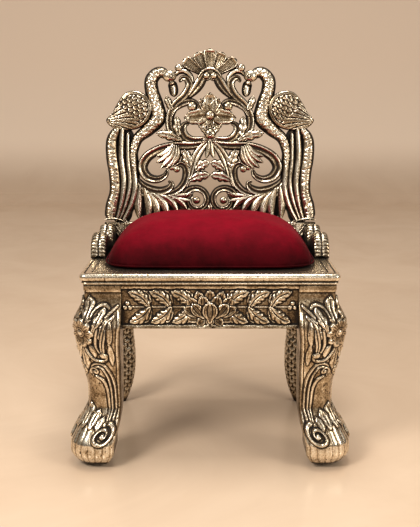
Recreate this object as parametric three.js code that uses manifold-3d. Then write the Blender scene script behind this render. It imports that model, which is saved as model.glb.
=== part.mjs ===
// A carved throne: a wooden frame sheathed in silver, with a loose velvet cushion on its seat.
// Millimetres, +Z up. The sitter faces -Y and the origin is on the floor under the middle.

import * as THREE from 'three';
import { mergeVertices } from 'three/addons/utils/BufferGeometryUtils.js';
import Module from 'manifold-3d';

const wasm = await Module();
wasm.setup();

// Seat board
const SEAT_WIDTH = 610;
const SEAT_DEPTH = 500;
const SEAT_TOP = 466;
const SEAT_THICKNESS = 28;
const SEAT_CORNER = 14;

// Back: its face meets the seat at BACK_PLANE and leans away from the sitter
const BACK_PLANE = 205;
const BACK_RAKE = THREE.MathUtils.degToRad(5);
const PANEL_THICKNESS = 24;
const POST_THICKNESS = 36;
const POST_FOOT_TOP = 64;
const POST_INNER = 204;

// Legs and aprons
const LEG_OUTER = 295;
const LEG_BLOCK = 87;
const LEG_SHIFT = 55;
const APRON_BOTTOM = 334;
const APRON_THICKNESS = 22;
const APRON_FIELD = 234;
const APRON_LIP = 5;

// Arm scrolls
const ARM_OUTER = 303;
const ARM_WIDTH = 38;

// Cushion
const CUSHION_HALF_WIDTH = 256;
const CUSHION_FRONT = -200;
const CUSHION_REAR = 190;
const CUSHION_HEIGHT = 116;

// Space left between pieces that touch
const GAP = 0.3;

const SEAT_BOTTOM = SEAT_TOP - SEAT_THICKNESS;
const UNDER_SEAT = SEAT_BOTTOM - GAP;
const LEG_INNER = LEG_OUTER - LEG_BLOCK;

// Solids

function toSolid(geometry) {
  geometry.deleteAttribute('normal');
  geometry.deleteAttribute('uv');
  const merged = mergeVertices(geometry);
  const mesh = new wasm.Mesh({
    numProp: 3,
    vertProperties: new Float32Array(merged.attributes.position.array),
    triVerts: new Uint32Array(merged.index.array),
  });
  return new wasm.Manifold(mesh);
}

function toGeometry(solid) {
  const mesh = solid.getMesh();
  const geometry = new THREE.BufferGeometry();
  geometry.setAttribute('position', new THREE.BufferAttribute(mesh.vertProperties, 3));
  geometry.setIndex(new THREE.BufferAttribute(mesh.triVerts, 1));
  geometry.computeVertexNormals();
  return geometry;
}

// Keeps the main body alone: no loose crumbs, and no bubbles sealed in where strokes meet
function oneBody(solid) {
  const bodies = solid.decompose();
  return bodies.reduce((best, body) => (body.volume() > best.volume() ? body : best));
}

function join(solids) {
  return oneBody(wasm.Manifold.union(solids));
}

function enclosedVolume(points, index) {
  let volume = 0;
  for (let corner = 0; corner < index.length; corner += 3) {
    const [a, b, c] = [points[index[corner]], points[index[corner + 1]], points[index[corner + 2]]];
    volume += a.dot(new THREE.Vector3().crossVectors(b, c));
  }
  return volume;
}

// Joins equal rings of points into one closed solid, with a fan of triangles over each end
function loft(rings) {
  const count = rings[0].length;
  const points = rings.flat();
  const index = [];
  for (let ring = 0; ring + 1 < rings.length; ring++) {
    for (let side = 0; side < count; side++) {
      const a = ring * count + side;
      const b = ring * count + ((side + 1) % count);
      index.push(a, b, b + count, a, b + count, a + count);
    }
  }
  const last = (rings.length - 1) * count;
  for (let side = 1; side + 1 < count; side++) {
    index.push(0, side + 1, side);
    index.push(last, last + side, last + side + 1);
  }
  if (enclosedVolume(points, index) < 0) {
    index.reverse();
  }
  const geometry = new THREE.BufferGeometry().setFromPoints(points);
  geometry.setIndex(index);
  return toSolid(geometry);
}

function box(x0, x1, y0, y1, z0, z1) {
  const geometry = new THREE.BoxGeometry(x1 - x0, y1 - y0, z1 - z0);
  geometry.translate((x0 + x1) / 2, (y0 + y1) / 2, (z0 + z1) / 2);
  return toSolid(geometry);
}

function ball(centre, radii, around = 5, down = 3) {
  const geometry = new THREE.SphereGeometry(1, around, down);
  geometry.scale(radii.x, radii.y, radii.z);
  geometry.translate(centre.x, centre.y, centre.z);
  return toSolid(geometry);
}

// Carved strokes: a stroke is a list of [across, up, width] down the middle of a leaf or a scroll.
// place(across, up, height) says where a point of the carved surface is.

const smoothStroke = (path) => new THREE.CatmullRomCurve3(
  path.map(([across, up, width]) => new THREE.Vector3(across, up, width)),
  false,
  'centripetal',
);

const mirrored = (path) => path.map(([across, up, width]) => [-across, up, width]);

function strokeRings(path, place, steps, section) {
  const curve = smoothStroke(path);
  const rings = [];
  for (let step = 0; step <= steps; step++) {
    const at = curve.getPoint(step / steps);
    const along = curve.getTangent(step / steps);
    const length = Math.hypot(along.x, along.y);
    const side = [-along.y / length, along.x / length];
    rings.push(section(at.z / 2).map(([out, height]) => (
      place(at.x + side[0] * out, at.y + side[1] * out, height)
    )));
  }
  return rings;
}

// A flat-topped band with sloping sides, for scrolls
function band(path, place, { root, crown, steps = path.length - 1, grow = 0 }) {
  const shoulder = 0.66;
  const section = (half) => [
    [-half - grow, -root - grow],
    [half + grow, -root - grow],
    [(half + grow) * shoulder, crown + grow],
    [-(half + grow) * shoulder, crown + grow],
  ];
  return loft(strokeRings(path, place, steps, section));
}

// A leaf or a rib that rises to a sharp line along its middle. One sunk into a solid keeps its
// width where it leaves the surface, and one cut right through has it at the back.
function leaf(path, place, { root, crown, sunk = true, steps = 2, grow = 0 }) {
  const flare = sunk ? (root + crown) / crown : 1;
  const section = (half) => [
    [-half * flare - grow, -root - grow],
    [half * flare + grow, -root - grow],
    [0, crown + grow],
  ];
  return loft(strokeRings(path, place, steps, section));
}

// The path of one simple leaf from its stalk to its tip, bent sideways at its middle
function leafPath(from, to, width, bend = 0) {
  const tip = 1.5;
  const across = to[0] - from[0];
  const up = to[1] - from[1];
  const length = Math.hypot(across, up);
  const stations = [[0, 0.4], [0.3, 0.9], [0.6, 1], [0.85, 0.55]];
  const points = stations.map(([t, share]) => {
    const sideways = bend * Math.sin(Math.PI * t) / length;
    return [from[0] + across * t - up * sideways, from[1] + up * t + across * sideways, width * share];
  });
  points.push([to[0], to[1], tip]);
  return points;
}

// The path of a scroll that winds in from one radius to another; angles in degrees
function spiralPath(centre, radii, angles, widths, points) {
  return Array.from({ length: points }, (_, step) => {
    const t = step / (points - 1);
    const angle = THREE.MathUtils.degToRad(THREE.MathUtils.lerp(angles[0], angles[1], t));
    const radius = THREE.MathUtils.lerp(radii[0], radii[1], t);
    return [
      centre[0] + radius * Math.cos(angle),
      centre[1] + radius * Math.sin(angle),
      THREE.MathUtils.lerp(widths[0], widths[1], t),
    ];
  });
}

// Materials

const silver = (name, color, roughness) => (
  new THREE.MeshStandardMaterial({ name, color, roughness, metalness: 1 })
);
const SILVER = silver('silver', 0xb8a888, 0.34);
const DARK_SILVER = silver('dark_silver', 0x9c8c6c, 0.42);
const VELVET = new THREE.MeshStandardMaterial({
  name: 'velvet', color: 0x7a0a18, roughness: 0.9, metalness: 0,
});

// Seat board: a moulded edge round a plain board

function rectangleRing(halfWidth, halfDepth, corner, z) {
  const cornerAngles = [0, 45, 90];
  const quarters = [[1, 1, 0], [-1, 1, 90], [-1, -1, 180], [1, -1, 270]];
  return quarters.flatMap(([sx, sy, turn]) => cornerAngles.map((angle) => {
    const direction = THREE.MathUtils.degToRad(angle + turn);
    return new THREE.Vector3(
      sx * (halfWidth - corner) + corner * Math.cos(direction),
      sy * (halfDepth - corner) + corner * Math.sin(direction),
      z,
    );
  }));
}

function seatBoard() {
  // how far the edge stands in from the widest line, and how far below the top
  const edge = [[8, 0], [2, 2], [0, 8], [2, 14], [6, 16], [3.5, 19], [8, 24], [9, SEAT_THICKNESS]];
  return loft(edge.map(([inset, drop]) => rectangleRing(
    SEAT_WIDTH / 2 - inset,
    SEAT_DEPTH / 2 - inset,
    SEAT_CORNER - inset / 2,
    SEAT_TOP - drop,
  )));
}

// Legs: square at the top, rounded towards the outer corner. Each station holds the height, the
// outer and inner faces' distance from the middle of the throne, and the outer corner's radius.

const FRONT_LEG = [
  [UNDER_SEAT, 295, 208, 6],
  [396, 297, 208, 16],
  [353, 318, 208, 52],
  [312, 321, 211, 78],
  [240, 305, 211, 58],
  [195, 294, 212, 42],
  [140, 292, 212, 36],
  [88, 321, 219, 49],
  [60, 334, 226, 54],
  [26, 330, 231, 52],
  [8, 312, 247, 40],
  [0, 293, 263, 22],
];

const REAR_LEG = [
  [UNDER_SEAT, 295, 208, 6],
  [340, 295, 208, 10],
  [305, 294, 212, 30],
  [272, 292, 213, 38],
  [239, 290, 216, 38],
  [206, 289, 219, 38],
  [173, 288, 216, 38],
  [140, 287, 214, 38],
  [107, 286, 214, 38],
  [74, 283, 218, 34],
  [42, 278, 226, 27],
  [16, 272, 236, 20],
  [0, 269, 243, 12],
];

// One section of a leg, with its outer corner towards (-x, side y)
function legRing([z, outer, inner, radius], side) {
  const steps = 3;
  const round = Array.from({ length: steps + 1 }, (_, step) => {
    const angle = (step / steps) * (Math.PI / 2);
    return [outer - radius + radius * Math.cos(angle), outer - radius + radius * Math.sin(angle)];
  });
  const corners = [...round, [inner, outer], [inner, inner], [outer, inner]];
  return corners.map(([x, y]) => new THREE.Vector3(-x, side * (y - LEG_SHIFT), z));
}

function legStation(stations, z) {
  const above = Math.max(0, stations.findIndex((station) => station[0] <= z) - 1);
  const [high, low] = [stations[above], stations[above + 1]];
  const t = (high[0] - z) / (high[0] - low[0]);
  return high.map((value, item) => THREE.MathUtils.lerp(value, low[item], t));
}

// Places a point on a front leg: across is measured round the leg from its outer corner line
function onFrontLeg(across, z, height) {
  const [, outer, , radius] = legStation(FRONT_LEG, z);
  const reach = radius * Math.PI / 4;
  const round = THREE.MathUtils.clamp(Math.abs(across), 0, reach);
  const beyond = Math.abs(across) - round;
  const angle = Math.PI / 4 + round / radius;
  const centre = outer - radius;
  const x = beyond - centre - (radius + height) * Math.cos(angle);
  const y = LEG_SHIFT - centre - (radius + height) * Math.sin(angle);
  if (across >= 0) {
    return new THREE.Vector3(x, y, z);
  }
  return new THREE.Vector3(y - LEG_SHIFT, x + LEG_SHIFT, z);
}

function legFlower(z, size) {
  const petals = 6;
  const parts = [];
  for (let petal = 0; petal < petals; petal++) {
    const angle = (petal / petals) * 2 * Math.PI;
    const [across, up] = [size * Math.cos(angle), size * Math.sin(angle)];
    const path = [[across * 0.3, z + up * 0.3, size * 0.2], [across, z + up, size * 0.6]];
    parts.push(leaf(path, onFrontLeg, { root: 3, crown: 7, steps: 1 }));
  }
  const radius = size * 0.3;
  parts.push(ball(onFrontLeg(0, z, 5), new THREE.Vector3(radius, radius, radius)));
  return parts;
}

// [across from the corner line, height above the floor, width]
const LEG_SCROLLS = [
  // band that sweeps down from the apron to a small volute
  [[80, 384, 10], [62, 343, 13], [53, 310, 13], [50, 280, 11]],
  // scroll that starts in a ring on the shin and runs down to the foot
  [[18, 222, 9], [28, 250, 13], [50, 238, 15], [56, 190, 16], [57, 145, 15], [66, 100, 13]],
];

// [start, end, width] of the leaves either side of the corner line, and of those on it
const LEG_LEAVES = [
  [[34, 346], [46, 386], 24],
  [[24, 106], [26, 136], 28],
];
const LEG_MIDDLE_LEAVES = [
  [[0, 350], [0, 412], 32],
  [[0, 300], [0, 240], 26],
  [[0, 104], [0, 148], 34],
];

// [across, height above the floor] of the knee's small volute and of the rolled foot's own
const KNEE_VOLUTE = [51, 273];
const FOOT_VOLUTE = [58, 80];

const otherFace = (place) => (across, z, height) => place(-across, z, height);

// A raised disc on the foot's face
function footRoll([across, z], place) {
  const sides = 6;
  return loft([[24, -4], [21, 5]].map(([reach, height]) => (
    Array.from({ length: sides }, (_, side) => {
      const angle = (side / sides) * 2 * Math.PI;
      return place(across + reach * Math.cos(angle), z + reach * Math.sin(angle), height);
    })
  )));
}

function button([across, z], place) {
  return ball(place(across, z, 5), new THREE.Vector3(8, 8, 8));
}

function frontLeg() {
  const relief = { root: 3, crown: 5 };
  const parts = [loft(FRONT_LEG.map((station) => legRing(station, -1))), ...legFlower(327, 33)];
  for (const place of [onFrontLeg, otherFace(onFrontLeg)]) {
    parts.push(...LEG_SCROLLS.map((path) => band(path, place, { ...relief, steps: path.length - 2 })));
    parts.push(...LEG_LEAVES.map((shape) => leaf(leafPath(...shape), place, relief)));
    parts.push(footRoll(FOOT_VOLUTE, place), button(FOOT_VOLUTE, place), button(KNEE_VOLUTE, place));
  }
  parts.push(...LEG_MIDDLE_LEAVES.map((shape) => leaf(leafPath(...shape), onFrontLeg, relief)));
  return join(parts);
}

// Rear legs: below the square block the sides are cut in a pattern of lozenge scales
function rearLeg() {
  const scaleDepth = 1.6;
  const rings = REAR_LEG.map((station, row) => {
    const ring = legRing(station, 1);
    const plain = row < 2 || row > REAR_LEG.length - 3;
    const middle = ring.reduce((sum, point) => sum.add(point), new THREE.Vector3())
      .divideScalar(ring.length);
    return ring.map((point, side) => {
      const raised = plain ? 0 : scaleDepth * ((row + side) % 2 === 0 ? 1 : -1);
      const out = point.clone().sub(middle).setLength(raised === 0 ? 0 : 1);
      return point.clone().addScaledVector(out, raised);
    });
  });
  return loft(rings);
}

// Aprons: a recessed field between two fillets, with leaf sprays either side of the middle

function apronBoard(half) {
  const outline = new THREE.Shape();
  const fieldTop = UNDER_SEAT - 9;
  const fieldBottom = APRON_BOTTOM + 13;
  outline.moveTo(0, APRON_BOTTOM);
  outline.lineTo(APRON_THICKNESS, APRON_BOTTOM);
  outline.lineTo(APRON_THICKNESS, UNDER_SEAT);
  outline.lineTo(-APRON_LIP, UNDER_SEAT);
  outline.lineTo(-APRON_LIP, fieldTop + 3);
  outline.lineTo(0, fieldTop);
  outline.lineTo(0, fieldBottom);
  outline.lineTo(-APRON_LIP, fieldBottom - 4);
  outline.lineTo(-APRON_LIP, APRON_BOTTOM + 3);
  outline.closePath();
  const geometry = new THREE.ExtrudeGeometry(outline, { depth: 2 * half, bevelEnabled: false });
  // the outline's plane is turned upright: its x becomes depth, its y height, its run across
  const turn = new THREE.Matrix4().set(0, 0, 1, -half, 1, 0, 0, 0, 0, 1, 0, 0, 0, 0, 0, 1);
  geometry.applyMatrix4(turn);
  return toSolid(geometry);
}

const onApron = (across, up, height) => new THREE.Vector3(across, -height, up);
const APRON_LEAF = { root: 2, crown: 7 };
const STEM_HEIGHT = 387;

function lotus() {
  const petals = [
    [[0, 356], [0, 422], 26, 0, 12],
    [[-8, 358], [-24, 420], 24, 3, 11],
    [[-16, 358], [-41, 410], 26, 4, 10],
    [[-20, 354], [-53, 392], 28, 5, 9],
  ];
  return petals.flatMap(([from, to, width, bend, rise]) => {
    const path = leafPath(from, to, width, bend);
    const shape = { ...APRON_LEAF, crown: rise };
    const sides = from[0] === 0 ? [path] : [path, mirrored(path)];
    return sides.map((side) => leaf(side, onApron, shape));
  });
}

function leafSprays(starts, reach, drop) {
  const parts = [];
  for (const start of starts) {
    const upper = leafPath([-start, STEM_HEIGHT], [-start - reach, STEM_HEIGHT + drop], 24, -4);
    const lower = leafPath([-start, STEM_HEIGHT - 4], [-start - reach, STEM_HEIGHT - drop], 24, 4);
    for (const path of [upper, lower]) {
      parts.push(leaf(path, onApron, APRON_LEAF));
      parts.push(leaf(mirrored(path), onApron, APRON_LEAF));
    }
  }
  return parts;
}

function apronStem(half) {
  const path = [[-half, STEM_HEIGHT, 5], [0, STEM_HEIGHT, 5], [half, STEM_HEIGHT, 5]];
  return band(path, onApron, { root: 2, crown: 3, steps: 1 });
}

function frontApron(half) {
  const buds = [-1, 1].map((side) => ball(
    new THREE.Vector3(side * 193, -1, STEM_HEIGHT),
    new THREE.Vector3(10, 6, 9),
  ));
  const sprays = leafSprays([44, 98, 150], 42, 34);
  return join([apronBoard(half), apronStem(190), ...lotus(), ...sprays, ...buds]);
}

function sideApron(half) {
  const middle = leafPath([0, 352], [0, 420], 34);
  return join([
    apronBoard(half),
    apronStem(100),
    leaf(middle, onApron, APRON_LEAF),
    ...leafSprays([44], 48, 32),
  ]);
}

// Back: drawn upright with its face in the plane y = 0 and its foot at z = 0, then leaned back

const onBack = (across, up, height) => new THREE.Vector3(across, -height, up);

// Takes away whatever of a leaning piece would reach into the seat
function cutAtSeat(solid) {
  const half = 400;
  const geometry = new THREE.BoxGeometry(2 * half, 2 * half, 2 * half);
  geometry.translate(0, 0, GAP - half);
  geometry.rotateX(BACK_RAKE);
  return solid.subtract(toSolid(geometry));
}

// Swan upright: the bird's tail plume runs down the outer edge, its wing lies on the shoulder and
// its neck bows over to the crest

const NECK = [
  [-120, 470, 26], [-144, 476, 33], [-164, 457, 38], [-164, 425, 40],
  [-151, 385, 42], [-147, 348, 47], [-172, 318, 39], [-204, 290, 31], [-217, 245, 25],
];
const PLUME = [
  [-257, 319, 22], [-275, 290, 33], [-276, 240, 36], [-269, 190, 35], [-268, 140, 34],
  [-277, 100, 38], [-282, 60, 36],
];
const SHAFT = [[-241, 314, 32], [-240, 232, 42], [-234, 165, 42], [-244, 107, 38], [-261, 60, 22]];
const BREAST = [[-217, 262, 24], [-214, 200, 26], [-211, 150, 26], [-222, 104, 24], [-246, 56, 18]];
const BEAK = [[-110, 452, 24], [-104, 436, 27], [-102, 420, 25], [-101, 408, 15]];
const WING_OUTLINE = [
  [-292, 341], [-272, 319], [-238, 314], [-203, 319], [-175, 341], [-163, 377],
  [-176, 408], [-206, 424], [-236, 419], [-261, 388], [-275, 362],
];

function wing(grow) {
  const outline = new THREE.CatmullRomCurve3(
    WING_OUTLINE.map(([x, z]) => new THREE.Vector3(x, z, 0)),
    true,
    'centripetal',
  );
  const shape = new THREE.Shape(outline.getPoints(10).slice(0, -1));
  const bevel = 5;
  const geometry = new THREE.ExtrudeGeometry(shape, {
    depth: POST_THICKNESS + 2 - bevel + grow,
    bevelThickness: bevel,
    bevelSize: bevel,
    bevelOffset: grow - bevel,
    bevelSegments: 1,
  });
  geometry.rotateX(Math.PI / 2);
  geometry.translate(0, POST_THICKNESS - bevel, 0);
  return toSolid(geometry);
}

// Feathers: rows of round scales on the shoulder, then long quills that gather at the tip
function wingFeathers() {
  const parts = [];
  const rows = [[-228, 406], [-214, 384], [-206, 360]];
  const scaleSize = 12;
  const scaleStep = 21;
  for (const [start, up] of rows) {
    for (let item = 0; item < 2; item++) {
      const scale = new THREE.ConeGeometry(scaleSize, scaleSize, 5);
      scale.rotateX(Math.PI);
      scale.translate(start + item * scaleStep, -9, up - item);
      parts.push(toSolid(scale));
    }
  }
  // where each quill starts, where it ends and how far it bends
  const quills = [
    [[-250, 388], [-288, 342], 4],
    [[-240, 360], [-285, 340], 8],
    [[-212, 336], [-280, 337], 12],
  ];
  for (const [from, to, bend] of quills) {
    const path = leafPath(from, to, 18, bend);
    parts.push(leaf(path, onBack, { root: -4, crown: 13, sunk: false }));
  }
  return parts;
}

// Ridges that cross the tail plume
function plumeRibs() {
  const plume = smoothStroke(PLUME);
  return [0.3, 0.7].map((along) => {
    const at = plume.getPoint(along);
    const path = [[at.x - at.z * 0.4, at.y - 3, 9], [at.x + at.z * 0.36, at.y + 3, 9]];
    return leaf(path, onBack, { root: 2, crown: 7, steps: 1 });
  });
}

function swanPost(grow = 0) {
  const root = POST_THICKNESS;
  const head = 18 + grow;
  const parts = [
    band(PLUME, onBack, { root, crown: 4, steps: 5, grow }),
    band(SHAFT, onBack, { root, crown: 3, steps: 3, grow }),
    band(BREAST, onBack, { root, crown: 4, steps: 3, grow }),
    band(NECK, onBack, { root: 26, crown: 7, steps: 7, grow }),
    band(BEAK, onBack, { root: 16, crown: 8, grow }),
    ball(new THREE.Vector3(-114, 6, 465), new THREE.Vector3(head, head, head), 8, 4),
    wing(grow),
    box(-298 - grow, -POST_INNER + grow, 2 - grow, root + grow, -20, POST_FOOT_TOP + grow),
    box(-262, -212, 4, root, POST_FOOT_TOP - 2, 110),
    band([[-300, 66, 8], [-262, 66, 8]], onBack, { root, crown: 8, grow }),
  ];
  if (grow > 0) {
    return join(parts);
  }
  const eye = ball(new THREE.Vector3(-108, -10, 462), new THREE.Vector3(5, 4, 5));
  return oneBody(cutAtSeat(join([...parts, eye, ...plumeRibs(), ...wingFeathers()])));
}

// Pierced panel: scrolls and leaves drawn for the left half and repeated on the right

// [across, up, width]
const PANEL_SCROLLS = [
  // leg of the arch under the shell
  [[-12, 474, 8], [-22, 458, 24], [-37, 434, 25], [-60, 406, 10]],
  // outer band of the heart, with its curled top
  [[-86, 449, 7], [-79, 460, 13], [-66, 459, 19], [-56, 440, 24], [-68, 413, 25], [-97, 385, 22],
    [-113, 352, 22], [-112, 318, 21], [-94, 294, 18], [-62, 283, 14]],
  // hook between the bird's head and the arch
  [[-98, 466, 8], [-88, 478, 13], [-70, 479, 14], [-55, 467, 13], [-48, 448, 8]],
  // inner band of the heart and its volute
  [[-110, 352, 10], [-99, 374, 15], [-75, 390, 19], [-50, 394, 17], [-36, 384, 13], [-40, 370, 9]],
  // crook inside the heart
  [[-4, 292, 14], [-28, 285, 20], [-52, 285, 23], [-71, 297, 24], [-78, 315, 22], [-71, 330, 15],
    [-58, 333, 8]],
  // great scroll that runs out to the upright and winds back
  [[-4, 278, 14], [-50, 270, 21], [-100, 269, 24], [-145, 258, 25], [-179, 236, 26], [-191, 208, 26],
    [-177, 183, 24], [-150, 175, 20], [-127, 186, 15], [-121, 203, 9]],
  // crook with a ball end
  [[-142, 130, 12], [-112, 135, 17], [-88, 147, 20], [-71, 168, 22], [-66, 192, 22], [-71, 211, 18],
    [-84, 218, 15], [-95, 211, 10]],
  // stem from the flower's foot down to the lower spiral
  [[-4, 283, 10], [-26, 261, 22], [-41, 236, 24], [-50, 208, 18], [-58, 180, 14], [-68, 154, 10]],
  // crescent that cups the great scroll
  [[-205, 176, 12], [-190, 157, 21], [-163, 143, 26], [-134, 141, 25], [-113, 152, 20], [-109, 167, 10]],
  // ground behind the fan of leaves
  [[-206, 108, 78], [-150, 100, 62], [-112, 100, 42], [-60, 98, 26]],
];

// [start, end, width, bend]
const PANEL_LEAVES = [
  // heart
  [[-104, 370], [-122, 410], 25, 0],
  [[-86, 296], [-93, 353], 29, 3],
  [[-78, 285], [-152, 304], 32, -5],
  // flower
  [[-2, 362], [-30, 400], 36, 0],
  [[-2, 353], [-72, 348], 42, 0],
  [[-2, 350], [-32, 322], 34, 0],
  // inside the great scroll
  [[-102, 272], [-136, 210], 48, 9],
  // beside the stem
  [[-56, 210], [-72, 256], 37, 0],
  [[-42, 200], [-1, 223], 32, 5],
  [[-60, 172], [-1, 187], 33, 5],
  // fan at the foot
  [[-104, 126], [-48, 128], 30, 0],
  [[-166, 140], [-150, 62], 60, 6],
];

const TOP_PETAL = [[0, 360], [0, 418], 42];

// [across, up, radius]
const PANEL_BALLS = [[-9, 465, 9], [-88, 488, 11], [-51, 380, 13], [-94, 204, 10], [-38, 115, 15]];
const PANEL_MIDDLE_BALLS = [[0, 355, 14], [0, 302, 15]];

// Shell crest: five lobes, each with its ribs, spread over the arch
function shellCrest() {
  const shape = new THREE.Shape();
  shape.moveTo(0, 470);
  shape.lineTo(-30, 470);
  shape.quadraticCurveTo(-62, 480, -76, 516);
  shape.quadraticCurveTo(-62, 516, -48, 504);
  shape.quadraticCurveTo(-50, 528, -32, 532);
  shape.quadraticCurveTo(-22, 530, -19, 523);
  shape.quadraticCurveTo(-14, 540, 0, 541);
  shape.quadraticCurveTo(14, 540, 19, 523);
  shape.quadraticCurveTo(22, 530, 32, 532);
  shape.quadraticCurveTo(50, 528, 48, 504);
  shape.quadraticCurveTo(62, 516, 76, 516);
  shape.quadraticCurveTo(62, 480, 30, 470);
  shape.closePath();
  const geometry = new THREE.ExtrudeGeometry(shape, {
    depth: PANEL_THICKNESS, curveSegments: 2, bevelEnabled: false,
  });
  geometry.rotateX(Math.PI / 2);
  geometry.translate(0, PANEL_THICKNESS, 0);
  const parts = [toSolid(geometry)];
  const ribs = [[0, 534], [-30, 524], [-60, 506]];
  for (const [across, up] of ribs) {
    const path = [[across * 0.25, 480, 4], [across, up, 9]];
    const sides = across === 0 ? [path] : [path, mirrored(path)];
    parts.push(...sides.map((side) => leaf(side, onBack, { root: 2, crown: 5, steps: 1 })));
  }
  return parts;
}

function piercedPanel() {
  const root = PANEL_THICKNESS;
  const scroll = { root, crown: 0 };
  const foliage = { root, crown: 5, sunk: false };
  const spiral = spiralPath([-38, 116], [38, 20], [155, -180], [18, 10], 10);
  const arch = [[-27, 466, 8], [-16, 481, 9], [0, 486, 9], [16, 481, 9], [27, 466, 8]];
  const parts = [
    ...shellCrest(),
    band(arch, onBack, { root, crown: 5 }),
    leaf(leafPath(...TOP_PETAL), onBack, foliage),
    box(-POST_INNER - 6, POST_INNER + 6, 3, root, -20, 66),
    leaf([[0, 350, 18], [0, 282, 14]], onBack, { ...foliage, steps: 1 }),
    box(-8, 8, 6, root, 60, 120),
  ];
  for (const path of [...PANEL_SCROLLS, spiral]) {
    // a scroll keeps its curve with fewer facets than it has points
    const steps = Math.max(3, path.length - 4);
    parts.push(band(path, onBack, { ...scroll, steps }));
    parts.push(band(mirrored(path), onBack, { ...scroll, steps }));
  }
  for (const [from, to, width, bend] of PANEL_LEAVES) {
    const path = leafPath(from, to, width, bend);
    parts.push(leaf(path, onBack, foliage));
    parts.push(leaf(mirrored(path), onBack, foliage));
  }
  const balls = [...PANEL_BALLS, ...mirrored(PANEL_BALLS), ...PANEL_MIDDLE_BALLS];
  for (const [x, z, r] of balls) {
    parts.push(ball(new THREE.Vector3(x, 0, z), new THREE.Vector3(r, r * 0.9, r)));
  }
  const left = swanPost(GAP);
  const right = left.mirror([1, 0, 0]);
  return oneBody(cutAtSeat(join(parts).subtract(left).subtract(right)));
}

// Arm scrolls: two rolls with a crease down their middle, stepping forward along the seat's edge

// [distance behind the middle of the seat, height above it]
const ARM_PROFILE = [
  [202, 46], [176, 47], [148, 58], [128, 46], [112, 24], [86, 27], [32, 50], [-10, 60], [-38, 46],
  [-52, 8],
];

function armScroll() {
  const soft = 6;
  const crease = 3;
  const inner = ARM_OUTER - ARM_WIDTH;
  return loft(ARM_PROFILE.map(([y, height]) => [
    [ARM_OUTER, GAP],
    [ARM_OUTER, Math.max(height - soft, 2)],
    [ARM_OUTER - soft, height],
    [ARM_OUTER - ARM_WIDTH / 2, height - crease],
    [inner + soft, height],
    [inner, Math.max(height - soft, 2)],
    [inner, GAP],
  ].map(([x, z]) => new THREE.Vector3(-x, y, SEAT_TOP + z))));
}

// Cushion: a domed pad, squarish in plan, that pulls in towards its corners at the foot

function cushion() {
  const sides = 16;
  const squareness = 0.34;
  // share of the half-width, share of the height
  const levels = [
    [0.99, 0], [1, 0.06], [0.965, 0.34], [0.88, 0.62], [0.72, 0.84], [0.5, 0.95], [0.24, 1],
  ];
  const half = [CUSHION_HALF_WIDTH, (CUSHION_REAR - CUSHION_FRONT) / 2];
  const middle = (CUSHION_REAR + CUSHION_FRONT) / 2;
  const curved = (value) => Math.sign(value) * Math.abs(value) ** squareness;
  return loft(levels.map(([reach, rise]) => Array.from({ length: sides }, (_, side) => {
    const angle = (side / sides) * 2 * Math.PI;
    return new THREE.Vector3(
      half[0] * reach * curved(Math.cos(angle)),
      middle + half[1] * reach * curved(Math.sin(angle)),
      SEAT_TOP + GAP + CUSHION_HEIGHT * rise,
    );
  })));
}

// Assembly

const throne = new THREE.Group();
const frame = new THREE.Group();
const back = new THREE.Group();
back.position.set(0, BACK_PLANE, SEAT_TOP);
back.rotation.x = -BACK_RAKE;
frame.add(back);
throne.add(frame);

function add(parent, name, geometry, material) {
  const mesh = new THREE.Mesh(geometry, material);
  mesh.name = name;
  parent.add(mesh);
  return mesh;
}

function addPair(parent, name, geometry, material) {
  add(parent, `${name}_left`, geometry, material);
  const right = add(parent, `${name}_right`, geometry, material);
  right.scale.x = -1;
}

add(frame, 'seat_board', toGeometry(seatBoard()), SILVER);
addPair(frame, 'front_leg', toGeometry(frontLeg()), SILVER);
addPair(frame, 'rear_leg', toGeometry(rearLeg()), DARK_SILVER);

const frontHalf = LEG_INNER - GAP;
const sideHalf = LEG_INNER - LEG_SHIFT - GAP;
const apron = add(frame, 'front_apron', toGeometry(frontApron(frontHalf)), SILVER);
apron.position.y = -APRON_FIELD;
const rearApron = add(frame, 'rear_apron', toGeometry(apronBoard(frontHalf)), DARK_SILVER);
rearApron.rotation.z = Math.PI;
rearApron.position.y = APRON_FIELD;
for (const [name, side] of [['left_side_apron', -1], ['right_side_apron', 1]]) {
  const rail = add(frame, name, toGeometry(sideApron(sideHalf)), DARK_SILVER);
  rail.rotation.z = side * Math.PI / 2;
  rail.position.x = side * (APRON_FIELD + LEG_SHIFT);
}

addPair(back, 'swan_post', toGeometry(swanPost()), SILVER);
add(back, 'pierced_back_panel', toGeometry(piercedPanel()), SILVER);

addPair(frame, 'arm_scroll', toGeometry(armScroll()), SILVER);
add(frame, 'cushion', toGeometry(cushion()), VELVET);

// Brings the origin under the middle of the whole throne
const bounds = new THREE.Box3().setFromObject(throne, true);
const middle = bounds.getCenter(new THREE.Vector3());
frame.position.set(-middle.x, -middle.y, -bounds.min.z);

export default throne;
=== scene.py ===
import math

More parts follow.
